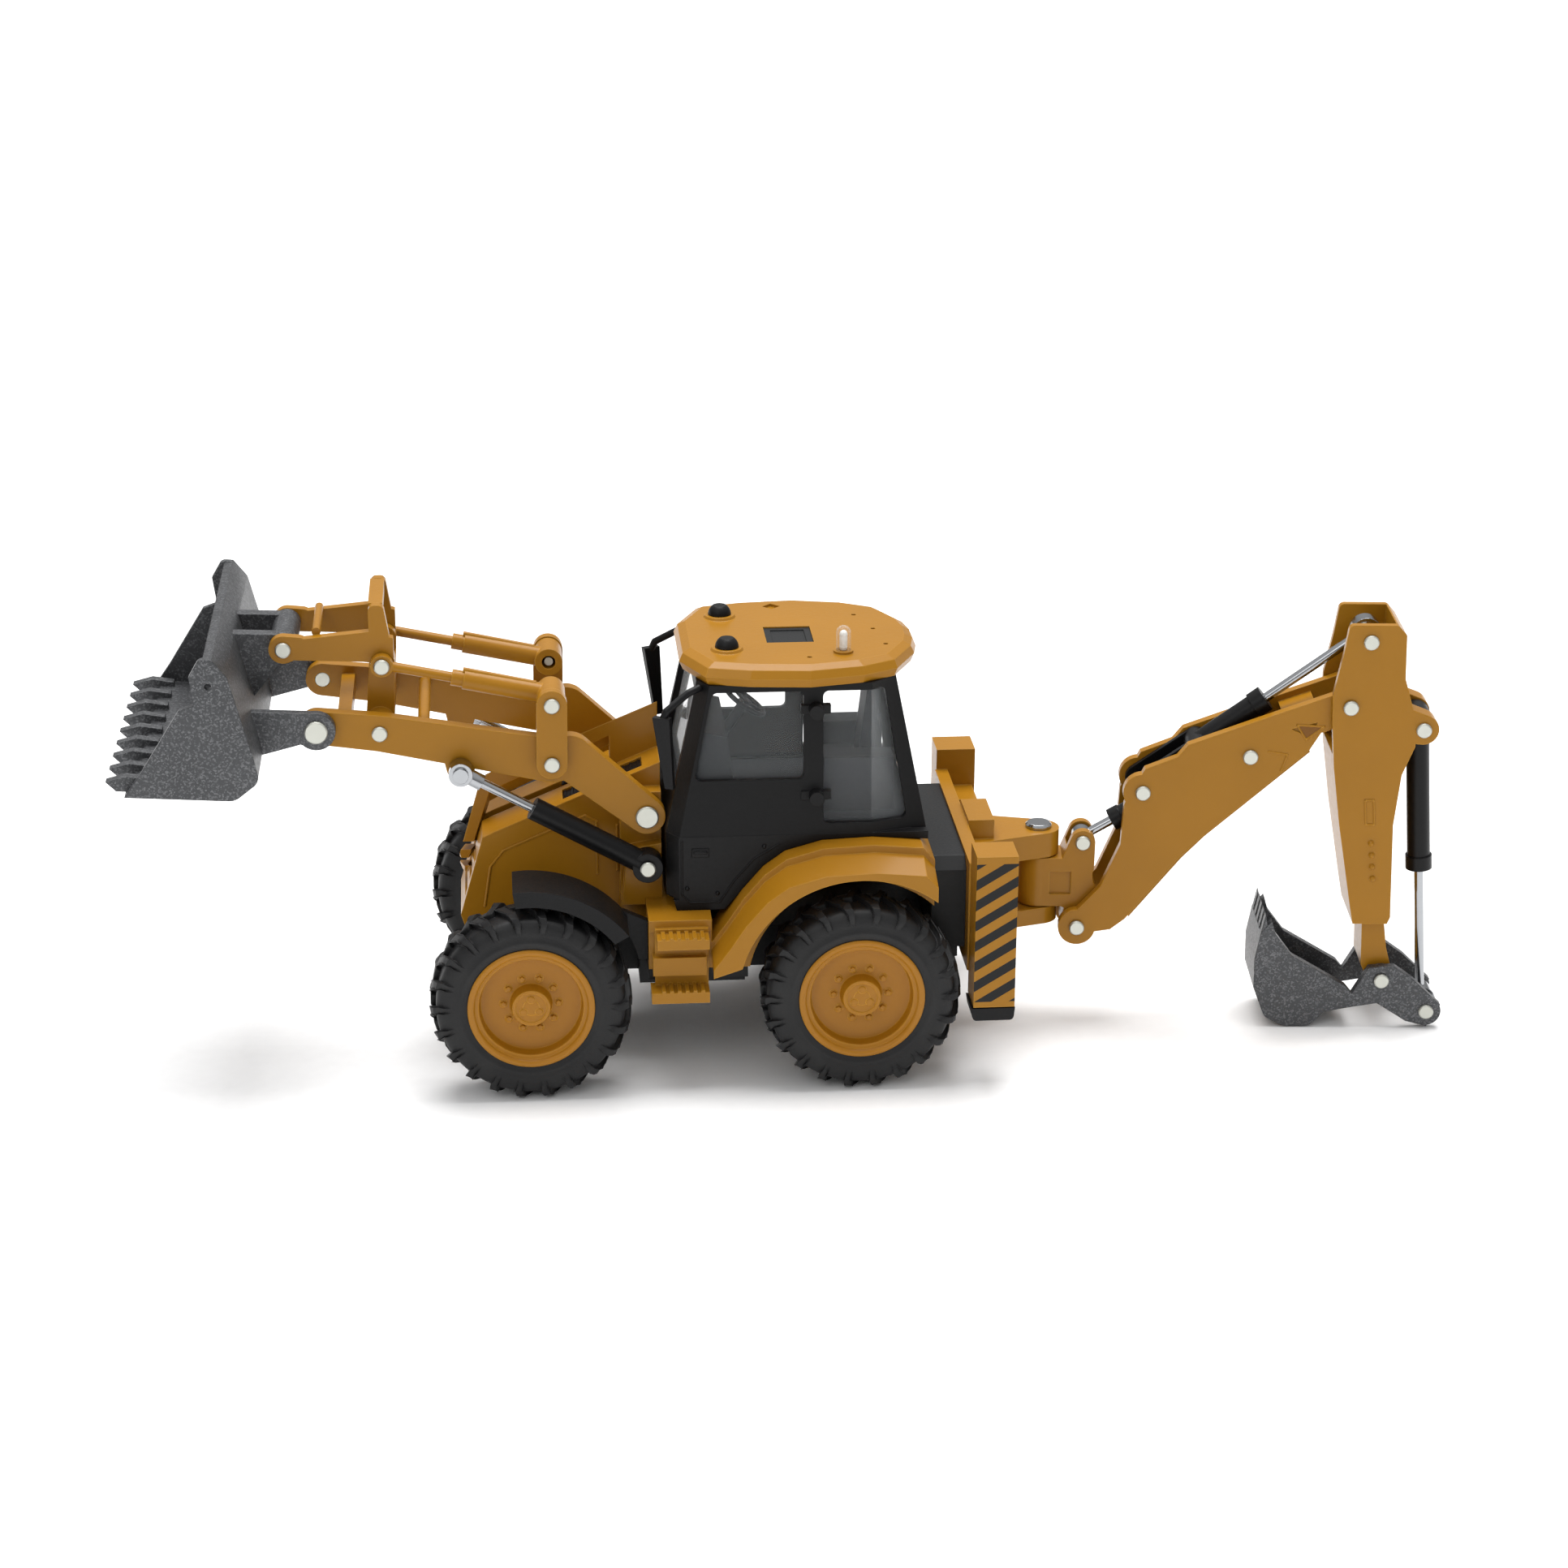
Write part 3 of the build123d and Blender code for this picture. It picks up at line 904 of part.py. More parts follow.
def dipper():
    """Dipper: two head cheeks, a tapering box stem, the rear lugs and the bucket neck."""
    outline = profile(
        (39.4, 32.4), (39.3, 36.2), (40.4, 42.0), (41.0, 46.2, 0.8), (47.6, 46.2, 0.8),
        (48.8, 44.8), (49.0, 38.6), (50.6, 33.4), (51.0, 28.8), (49.4, 24.6), (48.7, 17.2),
        (49.2, 3.4), (48.8, 2.4), (44.0, 2.4), (43.4, 5.4), (41.2, 17.4), (40.0, 25.6))
    cheek_in = DIPPER_HALF - CHEEK
    stem = slab(outline, -DIPPER_HALF, DIPPER_HALF)
    lug = slab(strap(CROWD_RAM_BASE, (48.6, 32.0), 2.1, 2.6), -DIPPER_HALF, DIPPER_HALF)
    body = stem + lug + slab(strap(DIPPER_PIVOT, (44.5, 34.4), 2.3, 3.0), -DIPPER_HALF, DIPPER_HALF)
    head_slot = profile((36, 27.6), (36, 48), (47.4, 48), (47.4, 38.2), (45.4, 30.4), (43.2, 27.0))
    body -= slab(head_slot, -cheek_in, cheek_in)
    lug_slot = profile((49.0, 20), (47.9, 28.4), (47.9, 36.0), (60, 40), (60, 20))
    body -= slab(lug_slot, -2.4, 2.4)
    neck = slab(profile((45.6, 3.0), (45.9, -4.6), (HOE_PIVOT[0] - 1.9, HOE_PIVOT[1]),
                        (HOE_PIVOT[0] + 1.9, HOE_PIVOT[1]), (49.3, -2.0), (48.6, 3.0)), -3.4, 3.4)
    body += neck + disc(HOE_PIVOT, 1.9, -3.4, 3.4)
    hollow = profile((42.4, 23.0), (47.0, 23.0), (47.4, 5.0), (45.0, 5.0))
    body -= slab(hollow, -DIPPER_HALF + 1.4, DIPPER_HALF - 1.4)
    body -= disc(DIPPER_PIVOT, RIVET + RUN, -10, 10)
    for pin in (DIPPER_RAM_PIN, CROWD_RAM_BASE, HOE_PIVOT):
        body -= disc(pin, RIVET, -10, 10)
    return body


def dipper_rivets():
    """Rivets fixed in the dipper: ram pin, crowd-ram base and bucket pivot."""
    pins = [cross_rivet(DIPPER_RAM_PIN, DIPPER_HALF), cross_rivet(CROWD_RAM_BASE, DIPPER_HALF),
            cross_rivet(HOE_PIVOT, HOE_HALF + 0.1)]
    return Compound(children=[s for pin in pins for s in pin.solids()])


def crowd_ram_barrel():
    """Black barrel of the bucket ram, behind the dipper."""
    return ram_barrel(CROWD_RAM_BASE, HOE_RAM_PIN, CROWD_GLAND, 1.6, 2.4 - SIDE, 1.9)


def crowd_ram_rod():
    """Chrome rod of the bucket ram; its eye is loose on the bucket's pin."""
    bar = rod(HOE_RAM_PIN, between(HOE_RAM_PIN, CROWD_RAM_BASE, CROWD_ROD), ROD_RADIUS)
    eye = disc(HOE_RAM_PIN, 2.0, -1.4, 1.4)
    return bar + eye - disc(HOE_RAM_PIN, RIVET + EYE_PLAY, -10, 10)


def hoe_bucket():
    """Backhoe bucket: cheeks with their pivots, wrapped shell and five teeth."""
    cheek = profile(
        (32.8, 2.6), (33.4, 0.6), (35.8, -2.6), (43.6, -7.2), (44.6, -8.4), (46.8, -4.4),
        (50.4, -4.2), (53.2, -6.2), (57.2, -10.0), (55.4, -13.3), (52.4, -12.5), (48.2, -9.8),
        (43.6, -10.6), (40.8, -11.2), (38.8, -13.3, 1.0), (35.2, -13.4, 1.6), (32.4, -12.0, 1.6),
        (30.7, -7.6), (30.6, -3.2), (31.3, 0.8))
    side = slab(cheek, HOE_HALF - HOE_WALL - 0.4, HOE_HALF)
    for pin in (HOE_PIVOT, HOE_RAM_PIN):
        side += disc(pin, 2.1, HOE_HALF - HOE_WALL - 0.4, HOE_HALF)
    bucket = side + flipped(side)
    shell = profile(
        (31.3, 0.8), (30.6, -3.2), (30.7, -7.6), (32.4, -12.0, 1.6), (35.2, -13.4, 1.6),
        (38.8, -13.3, 1.0), (40.8, -11.2), (43.6, -10.6), (43.4, -9.6), (40.3, -10.2),
        (38.2, -12.3, 0.8), (35.4, -12.4, 1.0), (33.2, -11.3, 1.0), (31.7, -7.4), (31.6, -3.2),
        (32.2, 0.6))
    bucket += slab(shell, -HOE_HALF, HOE_HALF)
    tooth = profile((31.2, 0.2), (31.9, 3.6), (32.5, 0.2), (32.1, -1.2), (31.4, -1.2))
    for index in range(5):
        y = (index - 2) * (2 * HOE_HALF - 1.4) / 4
        bucket += slab(tooth, y - 0.6, y + 0.6)
    bucket -= disc(HOE_PIVOT, RIVET + RUN, -10, 10)
    return bucket - disc(HOE_RAM_PIN, RIVET, -10, 10)


def hoe_rivet():
    """Rivet fixed in the backhoe bucket for the ram's eye."""
    return cross_rivet(HOE_RAM_PIN, HOE_HALF)


# --- Assembly -------------------------------------------------------------------------------
def placed_wheels():
    """Rims and tyres of both axles, by node name."""
    wheels = {}
    right_tyre, right_rim = tyre(), rim()
    for name, x in (("front", FRONT_X), ("rear", 0)):
        wheels[f"{name}_axle"] = Pos(x, 0, 0) * axle()
        for piece, right in (("tyre", right_tyre), ("rim", right_rim)):
            wheels[f"{name}_{piece}_right"] = Pos(x, 0, 0) * right
            wheels[f"{name}_{piece}_left"] = Pos(x, 0, 0) * flipped(right)
    return wheels


def all_pieces():
    """Every node of the model by name, about the rear axle."""
    pieces = placed_wheels()
    fixed = [chassis_base, chassis_screws, hood_shell, chassis_rivets, rear_body, cab_frame,
             cab_glazing, cab_roof, roof_hatch, roof_lamps, beacon_lens, cab_interior,
             steering_wheel, rear_deck, loader_arms, arm_rivets, rockers, rocker_rivets,
             tilt_struts, tilt_lever, lever_rivets, tilt_link, link_rivets, loader_bucket,
             bucket_rivets, lift_barrels, lift_rods, rear_frame, kingpin]
    for make in fixed:
        pieces[make.__name__] = make()
    for make in (front_fender, mirror_arm, stabiliser_leg):
        right = make()
        pieces[f"{make.__name__}_right"] = right
        pieces[f"{make.__name__}_left"] = flipped(right)
    hoe = [swing_post, post_rivets, boom, boom_rivets, boom_ram_barrel, boom_ram_rod, dipper,
           dipper_rivets, dipper_ram_barrel, dipper_ram_rod, crowd_ram_barrel, crowd_ram_rod,
           hoe_bucket, hoe_rivet]
    for make in hoe:
        pieces[make.__name__] = swung(make())
    return pieces


def origin_shift(pieces):
    """Moves the middle of the footprint, at ground level, to the origin."""
    boxes = [piece.bounding_box() for piece in pieces.values()]
    low, high = min(b.min.X for b in boxes), max(b.max.X for b in boxes)
    return Pos(-(low + high) / 2, 0, TYRE_RADIUS)


def main():
    """Writes each node to its own file."""
    os.makedirs("parts", exist_ok=True)
    pieces = all_pieces()
    shift = origin_shift(pieces)
    for name, piece in pieces.items():
        export_step(shift * piece, f"parts/{name}.step")
    print(len(pieces), "pieces, moved by", shift.position.X)


main()
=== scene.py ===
import json
import math

import bmesh
import bpy
from mathutils import Matrix, Vector


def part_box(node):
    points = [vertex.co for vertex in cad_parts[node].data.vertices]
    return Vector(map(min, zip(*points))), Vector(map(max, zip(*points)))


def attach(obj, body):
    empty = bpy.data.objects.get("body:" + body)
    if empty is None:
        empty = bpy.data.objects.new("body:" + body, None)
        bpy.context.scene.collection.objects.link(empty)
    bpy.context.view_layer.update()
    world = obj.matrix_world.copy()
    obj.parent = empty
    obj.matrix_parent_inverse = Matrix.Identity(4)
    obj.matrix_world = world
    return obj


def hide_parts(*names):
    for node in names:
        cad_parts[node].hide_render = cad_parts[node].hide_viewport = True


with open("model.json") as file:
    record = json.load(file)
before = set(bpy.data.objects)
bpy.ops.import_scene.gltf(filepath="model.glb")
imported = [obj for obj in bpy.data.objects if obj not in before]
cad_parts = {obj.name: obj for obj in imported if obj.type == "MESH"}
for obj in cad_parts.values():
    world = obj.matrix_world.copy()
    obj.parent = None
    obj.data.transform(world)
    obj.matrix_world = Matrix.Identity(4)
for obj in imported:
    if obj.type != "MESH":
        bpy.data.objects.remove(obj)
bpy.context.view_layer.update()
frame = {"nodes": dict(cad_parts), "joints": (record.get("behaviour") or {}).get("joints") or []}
nodes = frame["nodes"]

# --- Castings: hood, roof, body, arms and boom ------------------------------------------
# Zinc castings sprayed with gloss ochre enamel. At this size the paint is thick: it rounds every
# edge and dries with a faint orange peel. Along the edges a paler colour is painted in as a
# highlight.


def linear(code):
    """An sRGB hex value as linear red, green, blue, alpha."""
    parts = [int(code[i:i + 2], 16) / 255 for i in (0, 2, 4)]
    return [c / 12.92 if c < 0.04045 else ((c + 0.055) / 1.055) ** 2.4 for c in parts] + [1.0]


def add(material, kind, inputs=None, **settings):
    """One node with its settings; an input is a value or another node's socket."""
    node = material.node_tree.nodes.new(kind)
    for key, value in settings.items():
        setattr(node, key, value)
    for key, value in (inputs or {}).items():
        if isinstance(value, bpy.types.NodeSocket):
            material.node_tree.links.new(value, node.inputs[key])
        else:
            node.inputs[key].default_value = value
    return node


def finish(name, plain, linked):
    """A material whose shader takes plain values and linked sockets."""
    material = bpy.data.materials.new(name)
    material.use_nodes = True
    shader = material.node_tree.nodes["Principled BSDF"]
    for key, value in plain.items():
        shader.inputs[key].default_value = value
    for key, socket in linked(material).items():
        material.node_tree.links.new(socket, shader.inputs[key])
    return material


def paint(material, *names):
    """Gives CAD nodes this material."""
    for name in names:
        nodes[name].data.materials.clear()
        nodes[name].data.materials.append(material)


def enamel_nodes(body, edge_highlight, peel=0.7e-3, edge=0.2e-3, roughness=0.3, stripes=None):
    """Body colour with a cloudy variation, a paler painted highlight on edges, orange peel in the
    gloss.
    """
    def build(m):
        where = add(m, "ShaderNodeTexCoord").outputs["Object"]
        cloud = add(m, "ShaderNodeTexNoise", {"Vector": where, "Scale": 1 / 11e-3, "Detail": 4.0})
        grain = add(m, "ShaderNodeTexNoise", {"Vector": where, "Scale": 1 / peel, "Detail": 3.0})
        soft = add(m, "ShaderNodeBevel", {"Radius": edge}, samples=6)
        flat = add(m, "ShaderNodeNewGeometry")
        turn = add(m, "ShaderNodeVectorMath", {0: soft.outputs[0], 1: flat.outputs["Normal"]},
                   operation="DOT_PRODUCT")
        # Painted highlight: where the rounded normal turns from the flat one, the colour goes paler.
        highlight_mask = add(m, "ShaderNodeMapRange", {"Value": turn.outputs["Value"], "From Min": 0.995,
                                             "From Max": 0.86, "To Min": 0.0, "To Max": 0.6})
        dark = [c * 0.84 for c in body[:3]] + [1]
        tone = add(m, "ShaderNodeMix", {0: cloud.outputs["Fac"], 6: body, 7: dark},
                   data_type="RGBA")
        colour = add(m, "ShaderNodeMix", {0: highlight_mask.outputs[0], 6: tone.outputs[2], 7: edge_highlight},
                     data_type="RGBA").outputs[2]
        if stripes:
            colour = stripes(m, where, colour)
        rough = add(m, "ShaderNodeMapRange", {"Value": grain.outputs["Fac"],
                                              "To Min": roughness - 0.06, "To Max": roughness + 0.1})
        bump = add(m, "ShaderNodeBump", {"Height": grain.outputs["Fac"], "Strength": 0.3,
                                         "Distance": 0.05e-3, "Normal": soft.outputs[0]})
        return {"Base Color": colour, "Roughness": rough.outputs[0],
                "Normal": bump.outputs["Normal"]}
    return build


# The second colour is the painted edge highlight.
OCHRE, OCHRE_HIGHLIGHT = linear("A06E16"), linear("CC983A")
GLOSS = {"Specular IOR Level": 0.2, "Coat Weight": 0.04, "Coat Roughness": 0.1}
ochre = finish("ochre_enamel", GLOSS, enamel_nodes(OCHRE, OCHRE_HIGHLIGHT))
paint(ochre, "hood_shell", "rear_body", "cab_roof", "loader_arms", "rockers", "tilt_struts",
      "tilt_lever", "tilt_link", "swing_post", "boom", "dipper")

# --- Rear frame --------------------------------------------------------------------------
# One ochre casting with the two leg boxes. Black hazard stripes are printed on the outer
# face of each box, leaning the same way, with a plain border left round them.


def hazard_stripes(m, where, colour):
    """Black diagonal bars on the outer faces of the leg boxes."""
    low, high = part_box("rear_frame")
    pitch, lean = 2.95e-3, 0.62
    part = add(m, "ShaderNodeSeparateXYZ", {"Vector": where})
    rise = add(m, "ShaderNodeMath", {0: part.outputs["X"], 1: -lean, 2: part.outputs["Z"]},
               operation="MULTIPLY_ADD")
    turn = add(m, "ShaderNodeMath", {0: rise.outputs[0], 1: pitch}, operation="FLOORED_MODULO")
    black = pitch / 2
    bar = add(m, "ShaderNodeMath", {0: turn.outputs[0], 1: black}, operation="LESS_THAN")
    out = add(m, "ShaderNodeMath", {0: part.outputs["Y"]}, operation="ABSOLUTE")
    face = add(m, "ShaderNodeMath", {0: out.outputs[0], 1: high.y - 0.08e-3},
               operation="GREATER_THAN")
    under = add(m, "ShaderNodeMath", {0: part.outputs["Z"], 1: high.z - 1.0e-3},
                operation="LESS_THAN")
    above = add(m, "ShaderNodeMath", {0: part.outputs["Z"], 1: low.z + 0.8e-3},
                operation="GREATER_THAN")
    shown = add(m, "ShaderNodeMath", {0: bar.outputs[0], 1: face.outputs[0]}, operation="MULTIPLY")
    shown = add(m, "ShaderNodeMath", {0: shown.outputs[0], 1: under.outputs[0]},
                operation="MULTIPLY")
    shown = add(m, "ShaderNodeMath", {0: shown.outputs[0], 1: above.outputs[0]},
                operation="MULTIPLY")
    return add(m, "ShaderNodeMix", {0: shown.outputs[0], 6: colour, 7: linear("141414")},
               data_type="RGBA").outputs[2]


striped = finish("ochre_enamel_printed", GLOSS,
                 enamel_nodes(OCHRE, OCHRE_HIGHLIGHT, stripes=hazard_stripes))
paint(striped, "rear_frame")

# --- Rims --------------------------------------------------------------------------------
# Zinc wheels dipped in a yellower, golden enamel. A rolled lip, a stepped dish, a ring of
# wheel nuts on washers and a hub whose face has a raised rim and three lobes.


def ring(mesh, half_section, steps=120):
    """Spins a closed section of (radius, y) points, in mm, round the y axis."""
    verts = [mesh.verts.new((0, y * 1e-3, r * 1e-3)) for r, y in half_section]
    edges = [mesh.edges.new((a, b)) for a, b in zip(verts, verts[1:] + verts[:1])]
    bmesh.ops.spin(mesh, geom=verts + edges, cent=(0, 0, 0), axis=(0, 1, 0),
                   angle=2 * math.pi, steps=steps, use_merge=True)


def stud(mesh, radius, y_from, y_to, at=(0.0, 0.0), sides=32, taper=1.0, soft=0.12):
    """A round or hexagonal head along y, its outer edge rounded; sizes in mm."""
    made = bmesh.ops.create_cone(mesh, cap_ends=True, segments=sides, radius1=radius * 1e-3,
                                 radius2=radius * taper * 1e-3, depth=abs(y_to - y_from) * 1e-3)
    verts = made["verts"]
    face = Matrix.Rotation(math.radians(-90 if y_to > y_from else 90), 4, "X")
    centre = Vector((at[0], (y_from + y_to) / 2, at[1])) * 1e-3
    bmesh.ops.transform(mesh, matrix=Matrix.Translation(centre) @ face, verts=verts)
    outer = [e for v in verts for e in v.link_edges
             if all(abs(w.co.y - y_to * 1e-3) < 1e-7 for w in e.verts)]
    bmesh.ops.bevel(mesh, geom=list(set(outer)), offset=soft * 1e-3, offset_type="OFFSET",
                    segments=3, profile=0.5, affect="EDGES", material=-1)


def smooth(mesh_data, angle=35):
    """Smooth shading that keeps real edges sharp."""
    mesh_data.polygons.foreach_set("use_smooth", [True] * len(mesh_data.polygons))
    mesh_data.set_sharp_from_angle(angle=math.radians(angle))


def to_piece(name, mesh, *materials, angle=35):
    """Turns a bmesh into an object at the origin, shaded smooth."""
    data = bpy.data.meshes.new(name)
    mesh.to_mesh(data)
    mesh.free()
    smooth(data, angle)
    piece = bpy.data.objects.new(name, data)
    bpy.context.scene.collection.objects.link(piece)
    for material in materials:
        data.materials.append(material)
    return piece


def rim_mesh(name, centre, side):
    """One rim about its own middle, facing +y, then turned to its side of the machine."""
    mesh = bmesh.new()
    face = 3.8      # from the rim's middle plane to the lip, mm
    ring(mesh, [(7.9, face - 0.15), (8.5, face - 0.15), (8.5, face + 0.02), (8.35, face + 0.15),
                (8.1, face + 0.2), (7.8, face + 0.15), (7.62, face), (7.5, face - 0.3),
                (7.3, face - 0.42), (7.05, face - 0.45), (6.95, face - 0.55), (6.85, face - 1.75),
                (6.7, face - 2.0), (6.4, face - 2.1), (5.6, face - 2.15), (4.4, face - 2.15),
                (3.2, face - 2.1), (2.85, face - 1.95), (2.72, face - 1.7), (2.6, face - 0.35),
                (2.5, face - 0.18), (2.3, face - 0.15), (2.12, face - 0.2), (2.05, face - 0.35),
                (1.9, face - 0.38), (1.02, face - 0.38), (1.02, face - 3.0), (6.2, face - 3.0),
                (6.8, face - 3.3), (7.1, face - 4.0), (7.1, -face), (7.9, -face)])
    bmesh.ops.recalc_face_normals(mesh, faces=mesh.faces)
    stud(mesh, 1.1, face - 0.9, face - 0.3, sides=40)
    for turn in range(3):
        a = math.radians(120 * turn + 90)
        stud(mesh, 0.52, face - 0.6, face - 0.16, (1.2 * math.cos(a), 1.2 * math.sin(a)))
    for turn in range(10):
        a = math.radians(36 * turn)
        spot = (3.7 * math.cos(a), 3.7 * math.sin(a))
        stud(mesh, 0.55, face - 2.25, face - 2.05, spot, sides=24, soft=0.05)
        stud(mesh, 0.42, face - 2.15, face - 1.6, spot, sides=6, soft=0.08)
    turned = Matrix.Rotation(0 if side > 0 else math.pi, 4, "Z")
    bmesh.ops.transform(mesh, matrix=Matrix.Translation(centre) @ turned, verts=mesh.verts)
    return to_piece(name, mesh)


half_rim = 4.0e-3    # from the rim's outer edge to its middle plane
# The paler gold on the rims' edges is a painted highlight.
rim_gold = finish("golden_enamel", {"Specular IOR Level": 0.25, "Coat Weight": 0.05},
                  enamel_nodes(linear("A56E12"), linear("DBA23A"), peel=0.5e-3, roughness=0.34))
for axle_name in ("front", "rear"):
    for hand, side in (("right", 1), ("left", -1)):
        node = f"{axle_name}_rim_{hand}"
        low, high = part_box(node)
        middle = (low + high) / 2
        middle.y = side * (max(abs(low.y), abs(high.y)) - half_rim)
        rim = rim_mesh(f"{node}_dished", middle, side)
        rim.data.materials.append(rim_gold)
        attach(rim, f"{axle_name}_wheels")
        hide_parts(node)

# --- Buckets -----------------------------------------------------------------------------
# Zinc castings in dark metallic grey: aluminium flakes in the lacquer catch the light as
# fine speckle, and the sand-rough skin of the casting shows through.


def flake_nodes(body, spark, size=0.2e-3):
    """Metallic lacquer: flakes lighter than the base, a rough cast skin below."""
    def build(m):
        where = add(m, "ShaderNodeTexCoord").outputs["Object"]
        flake = add(m, "ShaderNodeTexVoronoi", {"Vector": where, "Scale": 1 / size})
        chance = add(m, "ShaderNodeSeparateColor", {"Color": flake.outputs["Color"]})
        lit = add(m, "ShaderNodeMapRange", {"Value": chance.outputs["Red"], "From Min": 0.55,
                                            "From Max": 1.0, "To Max": 0.75})
        cloud = add(m, "ShaderNodeTexNoise", {"Vector": where, "Scale": 1 / 9e-3, "Detail": 5.0})
        tone = add(m, "ShaderNodeMix", {0: cloud.outputs["Fac"], 6: body,
                                        7: [c * 0.7 for c in body[:3]] + [1]}, data_type="RGBA")
        colour = add(m, "ShaderNodeMix", {0: lit.outputs[0], 6: tone.outputs[2], 7: spark},
                     data_type="RGBA")
        skin = add(m, "ShaderNodeTexNoise", {"Vector": where, "Scale": 1 / 0.5e-3, "Detail": 4.0})
        soft = add(m, "ShaderNodeBevel", {"Radius": 0.2e-3}, samples=6)
        bump = add(m, "ShaderNodeBump", {"Height": skin.outputs["Fac"], "Strength": 0.5,
                                         "Distance": 0.08e-3, "Normal": soft.outputs[0]})
        rough = add(m, "ShaderNodeMapRange", {"Value": skin.outputs["Fac"], "To Min": 0.34,
                                              "To Max": 0.56})
        return {"Base Color": colour.outputs[2], "Normal": bump.outputs["Normal"],
                "Roughness": rough.outputs[0]}
    return build


cast_grey = finish("metallic_grey_lacquer", {"Metallic": 0.55},
                   flake_nodes(linear("4B4C4E"), linear("747577")))
paint(cast_grey, "loader_bucket", "hoe_bucket")

# --- Black mouldings ---------------------------------------------------------------------
# Chassis, cab frame, fenders, ram barrels and legs are black ABS with a satin spark-eroded
# grain; the deck and hatch are the same plastic, a shade greyer.


def moulded_nodes(body, grain_size=0.35e-3, roughness=0.42, edge=0.15e-3, depth=0.04e-3):
    """Moulded plastic: even colour, fine spark-eroded grain, slightly rounded edges."""
    def build(m):
        where = add(m, "ShaderNodeTexCoord").outputs["Object"]
        grain = add(m, "ShaderNodeTexNoise", {"Vector": where, "Scale": 1 / grain_size,
                                              "Detail": 3.0})
        cloud = add(m, "ShaderNodeTexNoise", {"Vector": where, "Scale": 1 / 14e-3, "Detail": 3.0})
        colour = add(m, "ShaderNodeMix", {0: cloud.outputs["Fac"], 6: body,
                                          7: [c * 0.75 for c in body[:3]] + [1]},
                     data_type="RGBA")
        soft = add(m, "ShaderNodeBevel", {"Radius": edge}, samples=6)
        bump = add(m, "ShaderNodeBump", {"Height": grain.outputs["Fac"], "Strength": 0.4,
                                         "Distance": depth, "Normal": soft.outputs[0]})
        rough = add(m, "ShaderNodeMapRange", {"Value": grain.outputs["Fac"],
                                              "To Min": roughness - 0.07,
                                              "To Max": roughness + 0.12})
        return {"Base Color": colour.outputs[2], "Normal": bump.outputs["Normal"],
                "Roughness": rough.outputs[0]}
    return build


SATIN = {"Specular IOR Level": 0.2}
black_abs = finish("black_abs", SATIN, moulded_nodes(linear("0F0F10")))
paint(black_abs, "chassis_base", "front_fender_right", "front_fender_left", "cab_frame",
      "mirror_arm_right", "mirror_arm_left", "roof_lamps", "stabiliser_leg_right",
      "stabiliser_leg_left")
barrel_black = finish("satin_black_abs", SATIN, moulded_nodes(linear("0E0E0F"), roughness=0.36))
paint(barrel_black, "lift_barrels", "boom_ram_barrel", "dipper_ram_barrel", "crowd_ram_barrel")
deck_grey = finish("charcoal_abs", SATIN, moulded_nodes(linear("202122")))
paint(deck_grey, "rear_deck", "roof_hatch")
grey_abs = finish("grey_abs", SATIN, moulded_nodes(linear("303136"), roughness=0.55))
paint(grey_abs, "cab_interior", "steering_wheel")

# --- Tyres -------------------------------------------------------------------------------
# Soft black PVC tyres pressed over the rims: a rounded carcass, a bead ring, and two rows of
# slanted lugs that meet at the middle and wrap over the shoulders.
LUG_COUNT = 22      # in each of the two rows


def lug(side, crown=12.47, reach=2.75, turn=1.0, drop=0.75):
    """One lug: a tapered block bent over the shoulder and down the sidewall."""
    block = bmesh.new()
    bmesh.ops.create_cube(block, size=1.0)
    length = reach + turn * math.pi / 2 + drop
    along = [e for e in block.edges if abs(e.verts[0].co.y - e.verts[1].co.y) > 0.5]
    bmesh.ops.subdivide_edges(block, edges=along, cuts=11, use_grid_fill=True)
    for v in block.verts:
        t = (v.co.y + 0.5) * length
        high = v.co.z > 0
        width = 1.7 - 0.5 * (t / length) - (0.35 if high else 0.0)
        lift = (0.95 - 0.55 * max(0.0, (t - reach) / (length - reach))) if high else -0.5
        if t < reach:
            y, r, ny, nr = t - 0.35, crown, 0.0, 1.0
        elif t < reach + turn * math.pi / 2:
            a = (t - reach) / turn
            y, r = reach - 0.35 + turn * math.sin(a), crown - turn * (1 - math.cos(a))
            ny, nr = math.sin(a), math.cos(a)
        else:
            y, r = reach - 0.35 + turn, crown - turn - (t - reach - turn * math.pi / 2)
            ny, nr = 1.0, 0.0
        across = v.co.x * width + 0.5 * min(t, reach + 1.0)
        radius = r + lift * nr
        angle = across / 12.6
        v.co = Vector((math.sin(angle) * radius, side * (y + lift * ny), math.cos(angle) * radius))
        v.co *= 1e-3
    bmesh.ops.bevel(block, geom=[e for e in block.edges if e.calc_face_angle(0) > 0.6],
                    offset=0.16e-3, offset_type="OFFSET", segments=2, profile=0.5,
                    affect="EDGES", material=-1)
    if side < 0:
        bmesh.ops.reverse_faces(block, faces=block.faces)
    data = bpy.data.meshes.new("lug")
    block.to_mesh(data)
    block.free()
    return data


